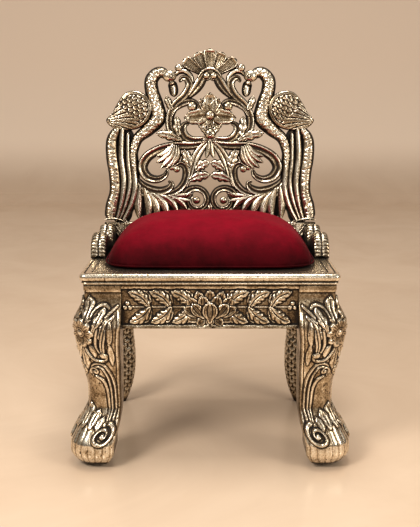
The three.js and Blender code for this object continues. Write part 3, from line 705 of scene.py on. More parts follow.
def front_leg_lift(u, z, width):
    """Height of the carving, u from the outer corner and z above the floor."""
    a = np.abs(u)
    field = np.zeros(u.shape)

    def strap(path, crown=4, profile=ROUND):
        fuller = [[across, up, wide * LEG_FULLNESS] for across, up, wide in path]
        press_band(field, a, z, fuller, crown=crown, profile=profile)

    def frond(start, end, wide, bend=0, crown=5, lobes=3):
        press_leaf(field, a, z, start, end, wide * LEG_FULLNESS, bend, crown=crown, lobes=lobes)

    # plain block with a small lip, and a dark step below it
    field += 1.4 * ease(421, 424, z)
    field -= 1.0 * np.exp(-((z - 419.5) / 1.2) ** 2)
    # a bead between two cuts runs down the inner edges
    rim = width - a
    beaded = ease(92, 112, z) * (1 - ease(372, 384, z))
    field += beaded * (1.6 * np.exp(-((rim - 5) / 2.4) ** 2) - 1.2 * np.exp(-((rim - 9.5) / 1.0) ** 2))
    # acanthus leaves that stand on the flower and run into the apron
    frond((14, 345), (11, 412), 27, -3, 6)
    strap([[79, 389, 7], [67, 374, 9], [57, 360, 9], [44, 338, 6]], 4.5)
    frond((34, 332), (51, 389), 20, -3, 6)
    frond((46, 318), (68, 364), 17, -3, 5)
    strap([[26, 366, 6], [29, 382, 8], [39, 391, 9], [51, 392, 8], [62, 384, 6]], 5)
    # long bands that run down to the knee's volute
    strap([[78, 366, 6], [64, 344, 11], [57, 324, 12], [52, 302, 11], [51, 284, 9]], 5, GROOVED)
    strap([[44, 338, 6], [38, 318, 9], [37, 298, 8], [43, 282, 6]])
    frond((68, 296), (74, 358), 13, 0, 3.5, 0)
    frond((66, 250), (70, 302), 13, 0, 3, 0)
    # swag below the flower
    frond((0, 306), (0, 236), 25, 0, 4.5)
    frond((20, 300), (30, 268), 15, 3, 4, 0)
    strap([[6, 300, 7], [12, 280, 9], [25, 264, 10], [40, 259, 9], [54, 264, 8], [58, 275, 7]], 5)
    press_knob(field, a, z, (50, 274), 8.5, 6.5)
    # scrolls of the shin
    strap([[21, 219, 7], [33, 211, 9], [41, 192, 10], [45, 166, 10], [48, 138, 9], [56, 112, 7]])
    strap([[12, 222, 5], [11, 236, 8], [24, 248, 12], [40, 247, 14], [51, 226, 15], [55, 194, 15],
           [57, 161, 14], [59, 132, 13], [64, 108, 11]], 6, RIMMED)
    strap(spiral((20, 231), (12, 5), (200, -80), (7, 4)), 4.5)
    press_knob(field, a, z, (20, 231), 5, 4.5)
    # gadroons round the foot, under a pointed collar
    flute = np.abs(np.sin(math.pi * 5.5 * u / width)) ** 0.6
    field += 1.9 * (flute - 1) * (1 - ease(92, 128, z)) * ease(3, 14, z)
    frond((0, 100), (0, 151), 24, 0, 5, 2)
    frond((22, 98), (24, 136), 22, 2, 4.5, 2)
    frond((40, 94), (42, 120), 17, 2, 4, 2)
    # rolled foot
    strap(spiral((58, 82), (26, 7), (80, -420), (10, 6), 28), 6)
    press_knob(field, a, z, (58, 81), 6, 6)
    # flower on the outer corner
    middle, petals_reach = 327, 36
    gap = np.hypot(u, z - middle)
    turn = np.arctan2(z - middle, u)
    petal = np.abs(np.cos(4.5 * turn))
    reach = petals_reach * (0.80 + 0.20 * petal**0.7)
    share = gap / reach
    cup = 3.0 + 6.5 * share**1.3 * (0.35 + 0.65 * petal**0.5)
    cup -= 0.8 * np.cos(27 * turn) * ease(0.4, 0.7, share)
    field[:] = np.where(share < 1, cup - 3.5 * ease(0.88, 1, share), field)
    field -= 1.2 * ((share >= 1) & (gap < reach + 2))
    heart = np.exp(-((gap - 10) / 1.6) ** 2) * 3.2 + 6 * np.sqrt(np.clip(1 - (gap / 8) ** 2, 0, 1))
    field[:] = np.where(gap < 12.5, 3.2 + heart, field)
    return field


def rear_leg_grid(rows=150, columns=156):
    """A rear leg: square at the top and softly rounded below, with scales cut all round it."""
    mean_radius, scales_round = 35, 12
    z = np.linspace(UNDER_SEAT, 0, rows)
    outer, inner, radius = leg_sections(REAR_LEG, z)
    half = (outer - inner) / 2
    soft = 3.0 + (radius * 0.62 - 3.0) * (1 - ease(318, 345, z[:, None]))
    soft = np.minimum(soft, half * 0.9)
    turn = np.linspace(0, 2 * math.pi, columns, endpoint=False)[None, :] + math.pi / 4
    c, s = np.cos(turn), np.sin(turn)
    power = 2 + 10 * (1 - soft / half) ** 2
    reach = half / (np.abs(c) ** power + np.abs(s) ** power) ** (1 / power)
    u = turn * mean_radius + 0 * reach
    z_grid = np.broadcast_to(z[:, None], u.shape)
    # a whole number of scales goes round the leg
    step = 2 * math.pi * mean_radius / scales_round
    pattern = scales(u, z_grid, step, 1.2, tilt=0.5, rib=0.3)
    scaly = ease(26, 32, z_grid) * (1 - ease(312, 318, z_grid))
    field = 3.4 * (pattern - 0.7) * scaly
    middle = (outer + inner) / 2
    x = middle + (reach + field) * c
    y = middle + (reach + field) * s
    tone = relief_of(field, 4, 2.8, wrap=True, plain=0.7)
    return np.stack([-x, y - LEG_SHIFT, z_grid], axis=-1), tone


def legs():
    for name, grid, paint, slot in (
        ("front_leg", front_leg_grid(), SILVER, "silver"),
        # the rear legs take the darker silver, painted shade
        ("rear_leg", rear_leg_grid(), SHADED_SILVER, "dark_silver"),
    ):
        shape = Shape()
        shape.tube(*grid)
        shape.build_pair(name, paint)


legs()


# Aprons: boards with a sunk field, a stem along the middle and pairs of veined leaves

def board_field(across, up):
    """The plain board: a fillet along the top and the foot, each with a dark cut beside it."""
    field = 5.0 * (ease(427, 429.5, up) + 1 - ease(341, 343.5, up))
    for cut, size, depth in ((430.5, 0.9, 1.2), (339.0, 0.9, 1.0), (426.5, 1.2, 0.8), (344.5, 1.2, 0.8)):
        field -= depth * np.exp(-((up - cut) / size) ** 2)
    return field


def spray(field, a, up, start, grow=1.0):
    """One pair of leaves that leave the stem at start, with a smaller one tucked behind each."""
    for back, low, reach, high, width, bend, crown, lobes, bite in (
        (6, 391, 13, 424, 22, 3, 4, 3, 0.12), (8, 380, 10, 346, 20, -3, 4, 3, 0.12),
        (4, 387, 43, 421, 33, 7, 6, 4, 0.15), (6, 383, 41, 349, 32, -7, 6, 4, 0.15),
    ):
        root, tip = (start - back, low), (start + reach * grow, high)
        press_leaf(field, a, up, root, tip, width, bend, crown=crown, lobes=lobes, bite=bite)


def lotus(field, a, up):
    """The flower in the middle of the front, its petals laid one over the other."""
    for start, end, width, crown in (
        ((14, 362), (52, 352), 22, 4), ((8, 362), (30, 341), 22, 4.5), ((0, 362), (0, 340), 22, 5),
        ((0, 380), (0, 426), 30, 5), ((14, 372), (30, 422), 30, 5.5), ((22, 366), (52, 408), 30, 6),
        ((18, 362), (62, 384), 28, 6.5), ((10, 370), (19, 412), 30, 7.5), ((16, 360), (42, 392), 30, 8.5),
        ((0, 350), (0, 397), 42, 10.5),
    ):
        press_petal(field, a, up, start, end, width, crown)


def apron(name, half, columns, carve, paint, turn=0.0, move=0.0, side=0.0):
    """An apron's board, carved by carve(field, across, up), then turned to its own side."""
    shape = Shape()
    across = np.linspace(-half, half, columns)[:, None]
    up = np.linspace(APRON_FOOT, UNDER_SEAT, 92)[None, :]
    across, up = np.broadcast_arrays(across, up)
    field = board_field(across, up)
    carve(field, np.abs(across), up)
    tone = relief_of(field, 5, 3.6, plain=0.60)
    heights = np.hstack([blur(field, 1), np.full((columns, 2), -float(APRON_THICK))])
    ups = np.hstack([up, np.full((columns, 1), UNDER_SEAT), np.full((columns, 1), float(APRON_FOOT))])
    wide = np.broadcast_to(across[:, :1], ups.shape)
    c, s = math.cos(turn), math.sin(turn)
    out = -move - heights
    points = np.stack([wide * c - out * s + side, wide * s + out * c, ups], axis=-1)
    shape.tube(points, np.hstack([tone, np.full((columns, 2), 0.4)]))
    shape.build(f"carved_{name}", paint, name)


def front_carving(field, a, up):
    press_band(field, a, up, [[-4, APRON_MIDDLE, 4], [190, APRON_MIDDLE, 4]], crown=2.5)
    for start in (148, 98, 48):
        spray(field, a, up, start)
    for shift in ((0, 7), (-6, -3), (6, -3)):
        press_knob(field, a, up, (194 + shift[0], 386 + shift[1]), 6, 4)
    lotus(field, a, up)


def side_carving(field, a, up):
    press_band(field, a, up, [[-4, APRON_MIDDLE, 4], [140, APRON_MIDDLE, 4]], crown=2.5)
    for start in (88, 36):
        spray(field, a, up, start, 0.9)
    press_leaf(field, a, up, (0, 352), (0, 420), 32, 0, crown=7, lobes=4)


def rear_carving(field, a, up):
    """Only a scratched frame inside the fillets: the back of the throne is plainer."""
    frame_cut = np.minimum(np.minimum(up - 350, 422 - up), 200 - a)
    field -= 0.9 * np.exp(-(frame_cut / 0.8) ** 2)


def aprons():
    apron("front_apron", 207.7, 380, front_carving, SILVER, move=APRON_FIELD)
    # the rear and side aprons take the darker silver, painted shade
    apron("rear_apron", 207.7, 80, rear_carving, SHADED_SILVER, turn=math.pi, move=APRON_FIELD)
    for name, way in (("left_side_apron", -1), ("right_side_apron", 1)):
        apron(name, 152.7, 190, side_carving, SHADED_SILVER, turn=way * math.pi / 2,
              move=0.0, side=way * (APRON_FIELD + LEG_SHIFT))


aprons()


# Swan uprights

NECK = [
    [-120, 470, 26], [-144, 476, 33], [-164, 457, 38], [-164, 425, 40],
    [-151, 385, 42], [-147, 348, 47], [-172, 318, 39], [-204, 290, 31], [-217, 245, 25],
    [-214, 210, 18], [-213, 180, 6],
]
PLUME = [
    [-257, 319, 22], [-275, 290, 33], [-276, 240, 36], [-269, 190, 35], [-268, 140, 34],
    [-277, 100, 38], [-282, 60, 36],
]
OUTER_RIDGE = [[-246, 320, 20], [-250, 240, 25], [-243, 170, 25], [-250, 108, 21], [-265, 56, 13]]
MIDDLE_RIDGE = [[-231, 306, 15], [-231, 230, 18], [-226, 160, 19], [-238, 104, 17], [-257, 56, 11]]
BREAST = [[-217, 262, 24], [-214, 200, 26], [-211, 150, 26], [-222, 104, 24], [-246, 56, 18]]
POST_BODY = [[-240, 322, 44], [-238, 240, 62], [-234, 150, 62], [-244, 100, 56], [-258, 50, 66]]
BEAK = [[-110, 452, 24], [-104, 436, 27], [-102, 420, 25], [-101, 408, 15]]
WING_OUTLINE = [
    [-292, 341], [-272, 319], [-238, 314], [-203, 319], [-175, 341], [-163, 377],
    [-176, 408], [-206, 424], [-236, 419], [-261, 388], [-275, 362],
]


def closed_curve(points, count):
    """A smooth loop through points, as count evenly spaced places."""
    wrapped = points[-3:] + points + points[:3]
    rows = [[x, y, 1.0] for x, y in wrapped]
    line = smooth_line(rows, 60 * len(rows))[:, :2]
    first = np.argmin(np.hypot(*(line[: len(line) // 2] - points[0]).T))
    last = len(line) // 2 + np.argmin(np.hypot(*(line[len(line) // 2:] - points[0]).T))
    loop = line[first:last]
    run = run_along(loop)
    places = np.linspace(0, run[-1], count, endpoint=False)
    return np.stack([np.interp(places, run, loop[:, k]) for k in (0, 1)], axis=1)


def wing_carving(x, up, share):
    """Round scales on the shoulder, long veined quills that gather at the tip, and a smooth rim."""
    field = 7 * (1 - share**2.6)
    # the coverts point down and outwards
    run = -0.5 * (x + 221) - 0.866 * (up - 372)
    beside = 0.866 * (x + 221) - 0.5 * (up - 372)
    coverts = 5 * scales(beside, -run, 17.5, 1.25, tilt=0.6, rib=0.25)
    below = 388 - 0.88 * (x + 262) - up
    quill_zone = ease(-2, 2, below)
    reach = np.hypot(x + 300, up - 336)
    angle = np.degrees(np.arctan2(up - 336, x + 300)) + 0.10 * reach
    fan = (angle + 8) / 12.5
    beside = np.abs((fan % 1) - 0.5) * 2
    quills = 4.2 * (1 - beside**4) - 1.0 * np.exp(-(((fan % 1) - 0.5) / 0.06) ** 2)
    quills -= 0.5 * (np.abs(np.sin(reach * 0.42 + 5 * beside)) < 0.22) * (beside < 0.9) * (beside > 0.15)
    leading = ease(-235, -200, x) + ease(395, 410, up) * ease(-262, -245, x)
    rim = np.clip(leading, 0, 1) * ease(0.80, 0.84, share)
    field += (coverts * (1 - quill_zone) + quills * quill_zone) * (1 - rim) * (1 - 0.6 * ease(0.94, 1, share))
    field += rim * 3.2 * (1 - ease(0.95, 1.0, share))
    return field - 1.8 * np.clip(leading, 0, 1) * np.exp(-((share - 0.80) / 0.018) ** 2)


def wing(shape):
    """Rings that grow from the wing's middle to its rim, then turn back behind it."""
    loop = closed_curve(WING_OUTLINE, 190)
    centre = np.array([-218.0, 366.0])
    shares = np.linspace(0.02, 1, 62)
    x = centre[0] + (loop[None, :, 0] - centre[0]) * shares[:, None]
    up = centre[1] + (loop[None, :, 1] - centre[1]) * shares[:, None]
    field = wing_carving(x, up, np.broadcast_to(shares[:, None], x.shape))
    tone = relief_of(field, 4, 2.6, wrap=True)
    rows = [on_back(x, up, field + 2)]
    for share, height in ((1, -6.0), (1, -20.0), (0.96, -34.0), (0.05, -35.5)):
        place = centre + (loop - centre) * share
        rows.append([on_back(place[:, 0], place[:, 1], np.full(len(loop), height))])
    behind = np.repeat(np.array([0.3, 0.3, 0.45, 0.45])[:, None], len(loop), axis=1)
    shape.tube(np.vstack(rows), np.vstack([tone, behind]))


def plume_form(length, pitch=15.0):
    """A rounded tail with curved cuts across its outer side, and short ones between them."""

    def form(s, t):
        run = t * length / pitch
        wave = 0.35 * np.sin(1.7 * run) + 0.5 * (s + 1) ** 2 * 0.5
        long_cut = np.exp(-((((run - wave) % 1) - 0.5) / 0.075) ** 2) * (s < 0.45)
        short_cut = np.exp(-((((run - wave) % 1) - 0.02) / 0.06) ** 2) * (np.abs(s + 0.45) < 0.34)
        body = 1 - np.abs(s) ** 3.5 * 1.9
        inner = -0.35 * np.exp(-((s - 0.55) / 0.07) ** 2)
        return body - 0.42 * long_cut - 0.3 * short_cut + inner
    return form


def neck_form(length, half=19.0):
    """A round neck with small scales all over, fading out at both ends."""

    def form(s, t):
        across = np.arcsin(np.clip(s, -1, 1)) * half * 0.8
        run = -t * length + 1.6 * np.sin(0.55 * across) + 0 * across
        texture = scales(across + 1.5 * np.sin(run * 0.21), run, 15.5, 1.2, tilt=0.5, rib=0)
        cells = np.clip(texture * 1.5, 0, 1)
        fade = ease(0.0, 0.03, t) * (1 - ease(0.90, 0.98, t))
        body = 1 - np.abs(s) ** 3.2 * 1.7
        return body + 0.4 * (cells - 0.9) * fade
    return form


def swan_head(shape):
    def beak(s, t):
        return ROUND(s) - 0.5 * np.exp(-((t - 0.3) / 0.05) ** 2)

    sweep(shape, BEAK, beak, 11, thick=14, step=1.2)
    knob(shape, on_back(-114, 465, 2), (20, 15, 17), 30, 20, tone=(0.3, 1.0))
    ring(shape, (-109, 463), 6, 3.4, 2.2, 5, 16.5)
    knob(shape, on_back(-109, 463, 16.5), (3.6, 3.6, 3.6), 14, 8)


def swan_post():
    shape = Shape()
    depth = 32
    sweep(shape, PLUME, plume_form(length_of(PLUME)), 7, thick=depth, step=1.3, across=19)
    band(shape, POST_BODY, 1, ROUND, thick=depth - 2, step=3, lift=-7)
    for path, profile, crown in ((OUTER_RIDGE, ROUND, 9), (MIDDLE_RIDGE, ROUND, 7), (BREAST, ROUND, 10)):
        band(shape, path, crown, profile, thick=depth, step=2.4)
    sweep(shape, NECK, neck_form(length_of(NECK)), 10, thick=25, step=1.4, across=27)
    swan_head(shape)
    wing(shape)
    # block at the foot with its rolled lip
    block = through((-1, -1), (-0.9, 0.6), (0, 1), (0.9, 0.6), (1, -1))
    band(shape, [[-256, -2, 84], [-256, 54, 84]], 2.5, block, thick=depth, step=3, round_ends=False)
    lip = [[-298, 62, 9], [-280, 65, 11], [-258, 63, 10], [-240, 56, 7]]
    band(shape, lip, 10, ROUND, thick=depth, step=2)
    band(shape, [[-299, 48, 6], [-262, 48, 6]], 6, ROUND, thick=depth, step=2)
    leaf(shape, (-214, 4), (-238, 62), 26, 4, crown=6, thick=depth, lift=2)
    leaf(shape, (-238, 0), (-268, 46), 24, 4, crown=6, thick=depth, lift=2)
    shape.build_pair("swan_post", SILVER)


swan_post()


# Pierced panel

# path, profile, crown, lift
PANEL_BANDS = [
    # leg of the arch under the shell
    ([[-12, 474, 8], [-22, 458, 24], [-37, 434, 25], [-60, 406, 10]], RIMMED, 5, 1),
    # outer band of the heart with its curled top
    ([[-86, 449, 7], [-79, 460, 13], [-66, 459, 19], [-56, 440, 24], [-68, 413, 25], [-97, 385, 22],
      [-113, 352, 22], [-112, 318, 21], [-94, 294, 18], [-62, 283, 14]], RIMMED, 6, 0),
    # hook between the bird's head and the arch
    ([[-98, 466, 8], [-88, 478, 13], [-70, 479, 14], [-55, 467, 13], [-48, 448, 8]], ROUND, 5, -1),
    # inner band of the heart, curling into its volute
    ([[-110, 352, 10], [-99, 374, 15], [-75, 390, 19], [-50, 394, 17], [-36, 384, 13], [-40, 370, 10],
      [-54, 366, 7]], RIMMED, 5, 0),
    # crook inside the heart
    ([[-4, 292, 14], [-28, 285, 20], [-52, 285, 23], [-71, 297, 24], [-78, 315, 22], [-71, 330, 15],
      [-58, 333, 8]], RIMMED, 6, 1),
    # great scroll that runs out to the upright and winds back
    ([[-4, 278, 14], [-50, 270, 21], [-100, 269, 24], [-145, 258, 25], [-179, 236, 26], [-191, 208, 26],
      [-177, 183, 24], [-150, 175, 20], [-127, 186, 15], [-121, 203, 9]], RIMMED, 6.5, 1),
    # crook with a ball end
    ([[-142, 130, 12], [-112, 135, 17], [-88, 147, 20], [-71, 168, 22], [-66, 192, 22], [-71, 211, 18],
      [-84, 218, 15], [-95, 211, 10]], RIMMED, 6, 0),
    # stem from the flower's foot
    ([[-4, 283, 10], [-26, 261, 22], [-41, 236, 24], [-50, 208, 18], [-58, 180, 14], [-68, 154, 10]],
     GROOVED, 5, 1),
    # crescent that cups the great scroll, with its curled end
    ([[-205, 176, 12], [-190, 157, 21], [-163, 143, 26], [-134, 141, 25], [-113, 152, 20], [-109, 165, 12],
      [-119, 169, 7]], RIMMED, 5, 0),
    # outer crescent
    ([[-206, 158, 10], [-192, 138, 16], [-168, 126, 17], [-134, 122, 15], [-100, 128, 11]], GROOVED, 4, -1),
    # ground behind the fan of leaves, and the rail below it
    ([[-206, 108, 78], [-150, 100, 62], [-112, 100, 42], [-60, 98, 26]], ROUND, 2, -10),
    ([[-206, 42, 50], [-100, 42, 50], [30, 42, 50]], GROOVED, 3, -6),
]

# start, end, width, bend, crown, teeth, lift
PANEL_LEAVES = [
    ((-104, 370), (-122, 410), 23, 3, 7, 2, 1),
    ((-86, 296), (-93, 353), 28, 3, 7, 3, 2),
    ((-78, 285), (-152, 304), 30, -5, 8, 3, 1),
    ((-98, 284), (-130, 316), 17, 3, 6, 0, 0),
    # acanthus inside the great scroll
    ((-104, 276), (-152, 240), 20, 8, 7, 0, 3),
    ((-102, 274), (-152, 222), 21, 9, 8, 0, 4),
    ((-98, 272), (-141, 207), 22, 9, 9, 0, 4),
    ((-94, 270), (-125, 204), 21, 9, 9, 0, 3),
    ((-90, 270), (-110, 212), 18, 9, 8, 0, 2),
    # flower's foot and the stem's leaves
    ((-4, 284), (-12, 234), 17, 3, 6, 0, 2),
    ((-56, 210), (-72, 258), 36, 0, 8, 3, 1),
    ((-42, 200), (-1, 223), 31, 5, 8, 3, 1),
    ((-60, 172), (0, 187), 33, 5, 8, 3, 1),
    # fan at the foot
    ((-196, 160), (-199, 60), 27, -5, 7, 0, 0),
    ((-186, 152), (-174, 60), 27, 7, 7, 0, 1),
    ((-176, 142), (-148, 62), 28, 9, 7, 0, 0),
    ((-160, 136), (-119, 68), 28, 10, 7, 0, 1),
    ((-142, 132), (-90, 80), 25, 10, 7, 0, 0),
    ((-120, 130), (-64, 90), 21, 8, 6, 0, 0),
    ((-104, 130), (-46, 137), 18, -3, 6, 0, 0),
    ((-108, 122), (-50, 114), 17, 0, 6, 0, 0),
]

# across, up, radius
PANEL_BOSSES = [(-88, 488, 11), (-51, 380, 13), (-94, 204, 10), (-108, 208, 8), (-38, 116, 11)]


def petal(shape, start, end, width, crown=8, lift=2):
    path = leaf_path(start, end, width, 0, 0.8)
    sweep(shape, path, cupped, crown, thick=20, step=1.6, across=23, lift=lift, bright=0.55,
          edge=lambda t: 1.04 + 0.07 * np.cos(17 * t) * ease(0.25, 0.5, t))


def flower(shape):
    """Ten petals round a boss, with a bud and its sepals below."""
    for start, end, width, lift in (
        ((-2, 362), (-36, 384), 30, 0), ((2, 362), (36, 384), 30, 0),
        ((-2, 364), (-27, 402), 32, 1), ((2, 364), (27, 402), 32, 1),
        ((-2, 350), (-32, 322), 34, 0), ((2, 350), (32, 322), 34, 0),
        ((-2, 355), (-74, 347), 46, 2), ((2, 355), (74, 347), 46, 2),
        ((0, 358), (0, 419), 48, 3), ((0, 350), (0, 316), 26, 1),
    ):
        petal(shape, start, end, width, lift=lift)
    boss(shape, 0, 355, 13, 9)
    for way in (-1, 1):
        leaf(shape, (way * 2, 292), (way * 29, 326), 20, way * 4, crown=6, lobes=2, lift=1)
        leaf(shape, (way * 2, 290), (way * 22, 286), 12, 0, crown=5, lobes=2, lift=1)
    boss(shape, 0, 303, 15, 5)
    ring(shape, (0, 303), 5.5, 3, 2, 3, 15.5)


def shell_lobe(shape, end, foot, tip_width, lift, ribs):
    """One lobe of the crest: it widens from the shell's foot to a round bright rim."""
    foot, end = np.array(foot, float), np.array(end, float)
    rows = []
    for t in np.linspace(0, 1, 13):
        centre = foot + (end - foot) * t
        grow = 0.30 + 0.70 * t**0.9
        cap = math.sqrt(max(1 - (max(t - 0.76, 0) / 0.24) ** 2, 0.004))
        rows.append([centre[0], centre[1], tip_width * grow * cap])

    def form(s, t):
        a = np.abs(s)
        rim = np.exp(-((a - 0.82) / 0.13) ** 2) * ease(0.15, 0.6, t)
        rim = np.clip(rim + np.exp(-((t - 0.93) / 0.06) ** 2), 0, 1)
        rib = 0.4 * np.abs(np.cos(ribs * math.pi / 2 * s)) ** 0.6 * (1 - ease(0.8, 0.9, t)) * (a < 0.78)
        return 0.1 + 0.75 * rim + rib - 0.9 * a**10

    sweep(shape, rows, form, 8, thick=18, step=1.6, across=37, lift=lift, bright=0.55,
          edge=lambda t: 1 + 0.03 * np.cos(40 * t) * ease(0.5, 0.8, t))


def crest(shape):
    """Five lobes of a shell over an arch with two volutes."""
    for end, foot, width, lift in (
        ((-75, 512), (-14, 468), 42, -2), ((75, 512), (14, 468), 42, -2),
        ((-37, 531), (-8, 470), 42, 0), ((37, 531), (8, 470), 42, 0), ((0, 541), (0, 470), 50, 3),
    ):
        shell_lobe(shape, end, foot, width, lift, 9)
    half_arch = [[34, 458, 6], [26, 473, 9], [14, 483, 11]]
    arch = [[-x, up, width] for x, up, width in half_arch] + [[0, 486, 12]] + half_arch[::-1]
    band(shape, arch, 6, ROUND, lift=4)
    for way in (-1, 1):
        boss(shape, way * 10, 466, 9.5, 4)
        volute = spiral((way * 11, 466), (14, 11), (90 - way * 40, 90 + way * 190), (5, 5))
        band(shape, volute, 4, ROUND, lift=1)


def pierced_panel():
    shape = Shape()
    for path, profile, crown, lift in PANEL_BANDS:
        fuller = [[across, up, width * 1.14] for across, up, width in path]
        band(shape, fuller, crown, profile, lift=lift)
    band(shape, spiral((-38, 116), (37, 18), (155, -235), (23, 13), 22), 7, RIMMED, lift=1)
    for start, end, width, bend, crown, teeth, lift in PANEL_LEAVES:
        leaf(shape, start, end, width, bend, crown, teeth, lift=lift)
    for across, up, radius in PANEL_BOSSES:
        boss(shape, across, up, radius, 2)
    shape.mirror_into(shape)
    flower(shape)
    crest(shape)
    leaf(shape, (0, 66), (0, 108), 22, 0, 6, 3)
    shape.build("pierced_swan_back", SILVER, "pierced_back_panel")


pierced_panel()


# Arm scrolls

# distance behind the middle of the seat, height above it
ARM_PROFILE = [
    (202, 46), (176, 47), (148, 58), (128, 46), (112, 24), (86, 27), (32, 50), (-10, 60), (-38, 46),
    (-52, 8),
]


def arm_scroll():
    """A ribbed roll that follows the arm's profile, creased along its middle."""
    shape = Shape()
    line = smooth_line([[y, h, 1.0] for y, h in ARM_PROFILE], 190)
    run = run_along(line[:, :2])
    c = np.linspace(-1, 1, 23)[None, :]
    crease = np.exp(-(c / 0.12) ** 2)
    ribs = np.abs(np.sin(math.pi * run[:, None] / 9.5 + 1.2 * np.abs(c))) ** 0.7
    shoulder = 7 * np.abs(c) ** 5
    height = line[:, 1:2] - shoulder - 3.2 * crease - 1.6 * (1 - ribs) * (np.abs(c) > 0.16)
    x = ARM_OUTER - ARM_WIDTH / 2 + ARM_WIDTH / 2 * c + 0 * height
    tone = relief_of(height - line[:, 1:2] + shoulder, 4, 2.4)
    low = np.maximum(height[:, [0, -1]] * 0.45, 0.5)
    base = np.full((len(line), 1), 0.4)
    xs = np.hstack([x, x[:, -1:], x[:, -1:], x[:, :1], x[:, :1]])
    hs = np.hstack([np.maximum(height, 1.0), low[:, 1:], base, base, low[:, :1]])
    ys = np.broadcast_to(line[:, 0:1], xs.shape)
    points = np.stack([-xs, ys, SEAT_TOP + hs], axis=-1)
    shape.tube(points, np.hstack([tone, np.full((len(line), 4), 0.35)]))
    shape.build_pair("arm_scroll", SILVER)


arm_scroll()


# Cushion: a stuffed velvet pad, swollen by a cloth run and then closed with a piped seam

CUSHION_HALF = (256, 195)
CUSHION_MIDDLE_Y = -5
# share of the half-width, share of the height
CUSHION_LEVELS = [
    (0.4, 0.0), (0.9, 0.0), (0.985, 0.01), (1.0, 0.05), (0.99, 0.15), (0.965, 0.28), (0.93, 0.42),
    (0.875, 0.56), (0.795, 0.70), (0.70, 0.81), (0.56, 0.90), (0.40, 0.955), (0.22, 0.985), (0.07, 1.0),
]
CUSHION_HEIGHT = 116


def cushion_ring(reach, height, sides, squareness=0.34):
    """A rounded oblong, reach times the cushion's size, height above the seat."""
    angle = np.linspace(0, 2 * math.pi, sides, endpoint=False)
    c, s = np.cos(angle), np.sin(angle)
    x = CUSHION_HALF[0] * reach * np.sign(c) * np.abs(c) ** squareness
    y = CUSHION_MIDDLE_Y + CUSHION_HALF[1] * reach * np.sign(s) * np.abs(s) ** squareness
    return np.stack([x, y, np.full(sides, SEAT_TOP + height)], axis=1)


def swell(piece, limit):
    """Voxel remesh, a short cloth run with pressure, and a cap on how far any point has moved."""
    remesh = piece.modifiers.new("remesh", "REMESH")
    remesh.mode = "VOXEL"
    remesh.voxel_size = 0.006
    remesh.use_smooth_shade = True
    bake(piece)
    start = points_of(piece)
    held = piece.vertex_groups.new(name="foot")
    held.add([int(k) for k in np.flatnonzero(start[:, 2] < (SEAT_TOP + 9) / 1000)], 1.0, "REPLACE")
    cloth = piece.modifiers.new("cloth", "CLOTH")
    cloth.settings.vertex_group_mass = "foot"
    cloth.settings.use_pressure = True
    cloth.settings.uniform_pressure_force = 4
    cloth.settings.effector_weights.gravity = 0
    cloth.settings.tension_stiffness = 12
    cloth.settings.bending_stiffness = 0.6
    cloth.point_cache.frame_end = 20
    scene = bpy.context.scene
    for number in range(1, 21):
        scene.frame_set(number)
    bake(piece)
    scene.frame_set(1)
    moved = points_of(piece) - start
    length = np.linalg.norm(moved, axis=1, keepdims=True)
    moved *= np.minimum(1, limit / np.maximum(length, 1e-9))
    return start + moved


def bake(piece):
    """Put the shape that the modifiers make into the mesh itself."""
    depsgraph = bpy.context.evaluated_depsgraph_get()
    mesh = bpy.data.meshes.new_from_object(piece.evaluated_get(depsgraph))
    piece.modifiers.clear()
    piece.data = mesh


def points_of(piece):
    flat = np.empty(len(piece.data.vertices) * 3)
    piece.data.vertices.foreach_get("co", flat)
    return flat.reshape(-1, 3)


def cushion():
    sides = 120
    rings = np.array([
        cushion_ring(reach * 0.99, 1 + (CUSHION_HEIGHT - 5) * rise, sides) for reach, rise in CUSHION_LEVELS
    ])
    shape = Shape()
    shape.tube(rings, np.ones(rings.shape[:2]))
    pad = shape.build("velvet_cushion", VELVET, "cushion")
    points = swell(pad, 0.013)
    floor = (SEAT_TOP + 0.4) / 1000
    points[:, 2] = np.maximum(points[:, 2], floor)
    pad.data.vertices.foreach_set("co", points.ravel())
    pad.data.update()
    smooth = pad.modifiers.new("smooth", "SUBSURF")
    smooth.levels = 1
    bake(pad)
    pad.data.shade_smooth()
    pad.data.materials.clear()
    pad.data.materials.append(VELVET)

    # piping round the foot of the pad
    outline = cushion_ring(1.002, 8, 240)
    ahead = np.roll(outline, -1, axis=0) - np.roll(outline, 1, axis=0)
    ahead /= np.linalg.norm(ahead, axis=1)[:, None]
    out = np.stack([ahead[:, 1], -ahead[:, 0], np.zeros(len(ahead))], axis=1)
    turn = np.linspace(0, 2 * math.pi, 9)[:-1]
    radius = 1.9
    rings = (outline[:, None, :] + radius * (np.cos(turn)[None, :, None] * out[:, None, :]
             + np.sin(turn)[None, :, None] * np.array([0, 0, 1.0])))
    piping = Shape()
    index = np.arange(len(outline) * 8).reshape(-1, 8)
    beside = np.roll(index, -1, axis=1)
    corners = [index, beside, np.roll(beside, -1, axis=0), np.roll(index, -1, axis=0)]
    quads = np.stack(corners, axis=-1).reshape(-1, 4)
    piping.shell(rings.reshape(-1, 3), np.ones(quads.shape[0]), quads, np.empty((0, 3), int))
    cord = piping.build("cushion_piping", VELVET, "cushion")
    cord.parent = pad


cushion()


# Floor, light and camera

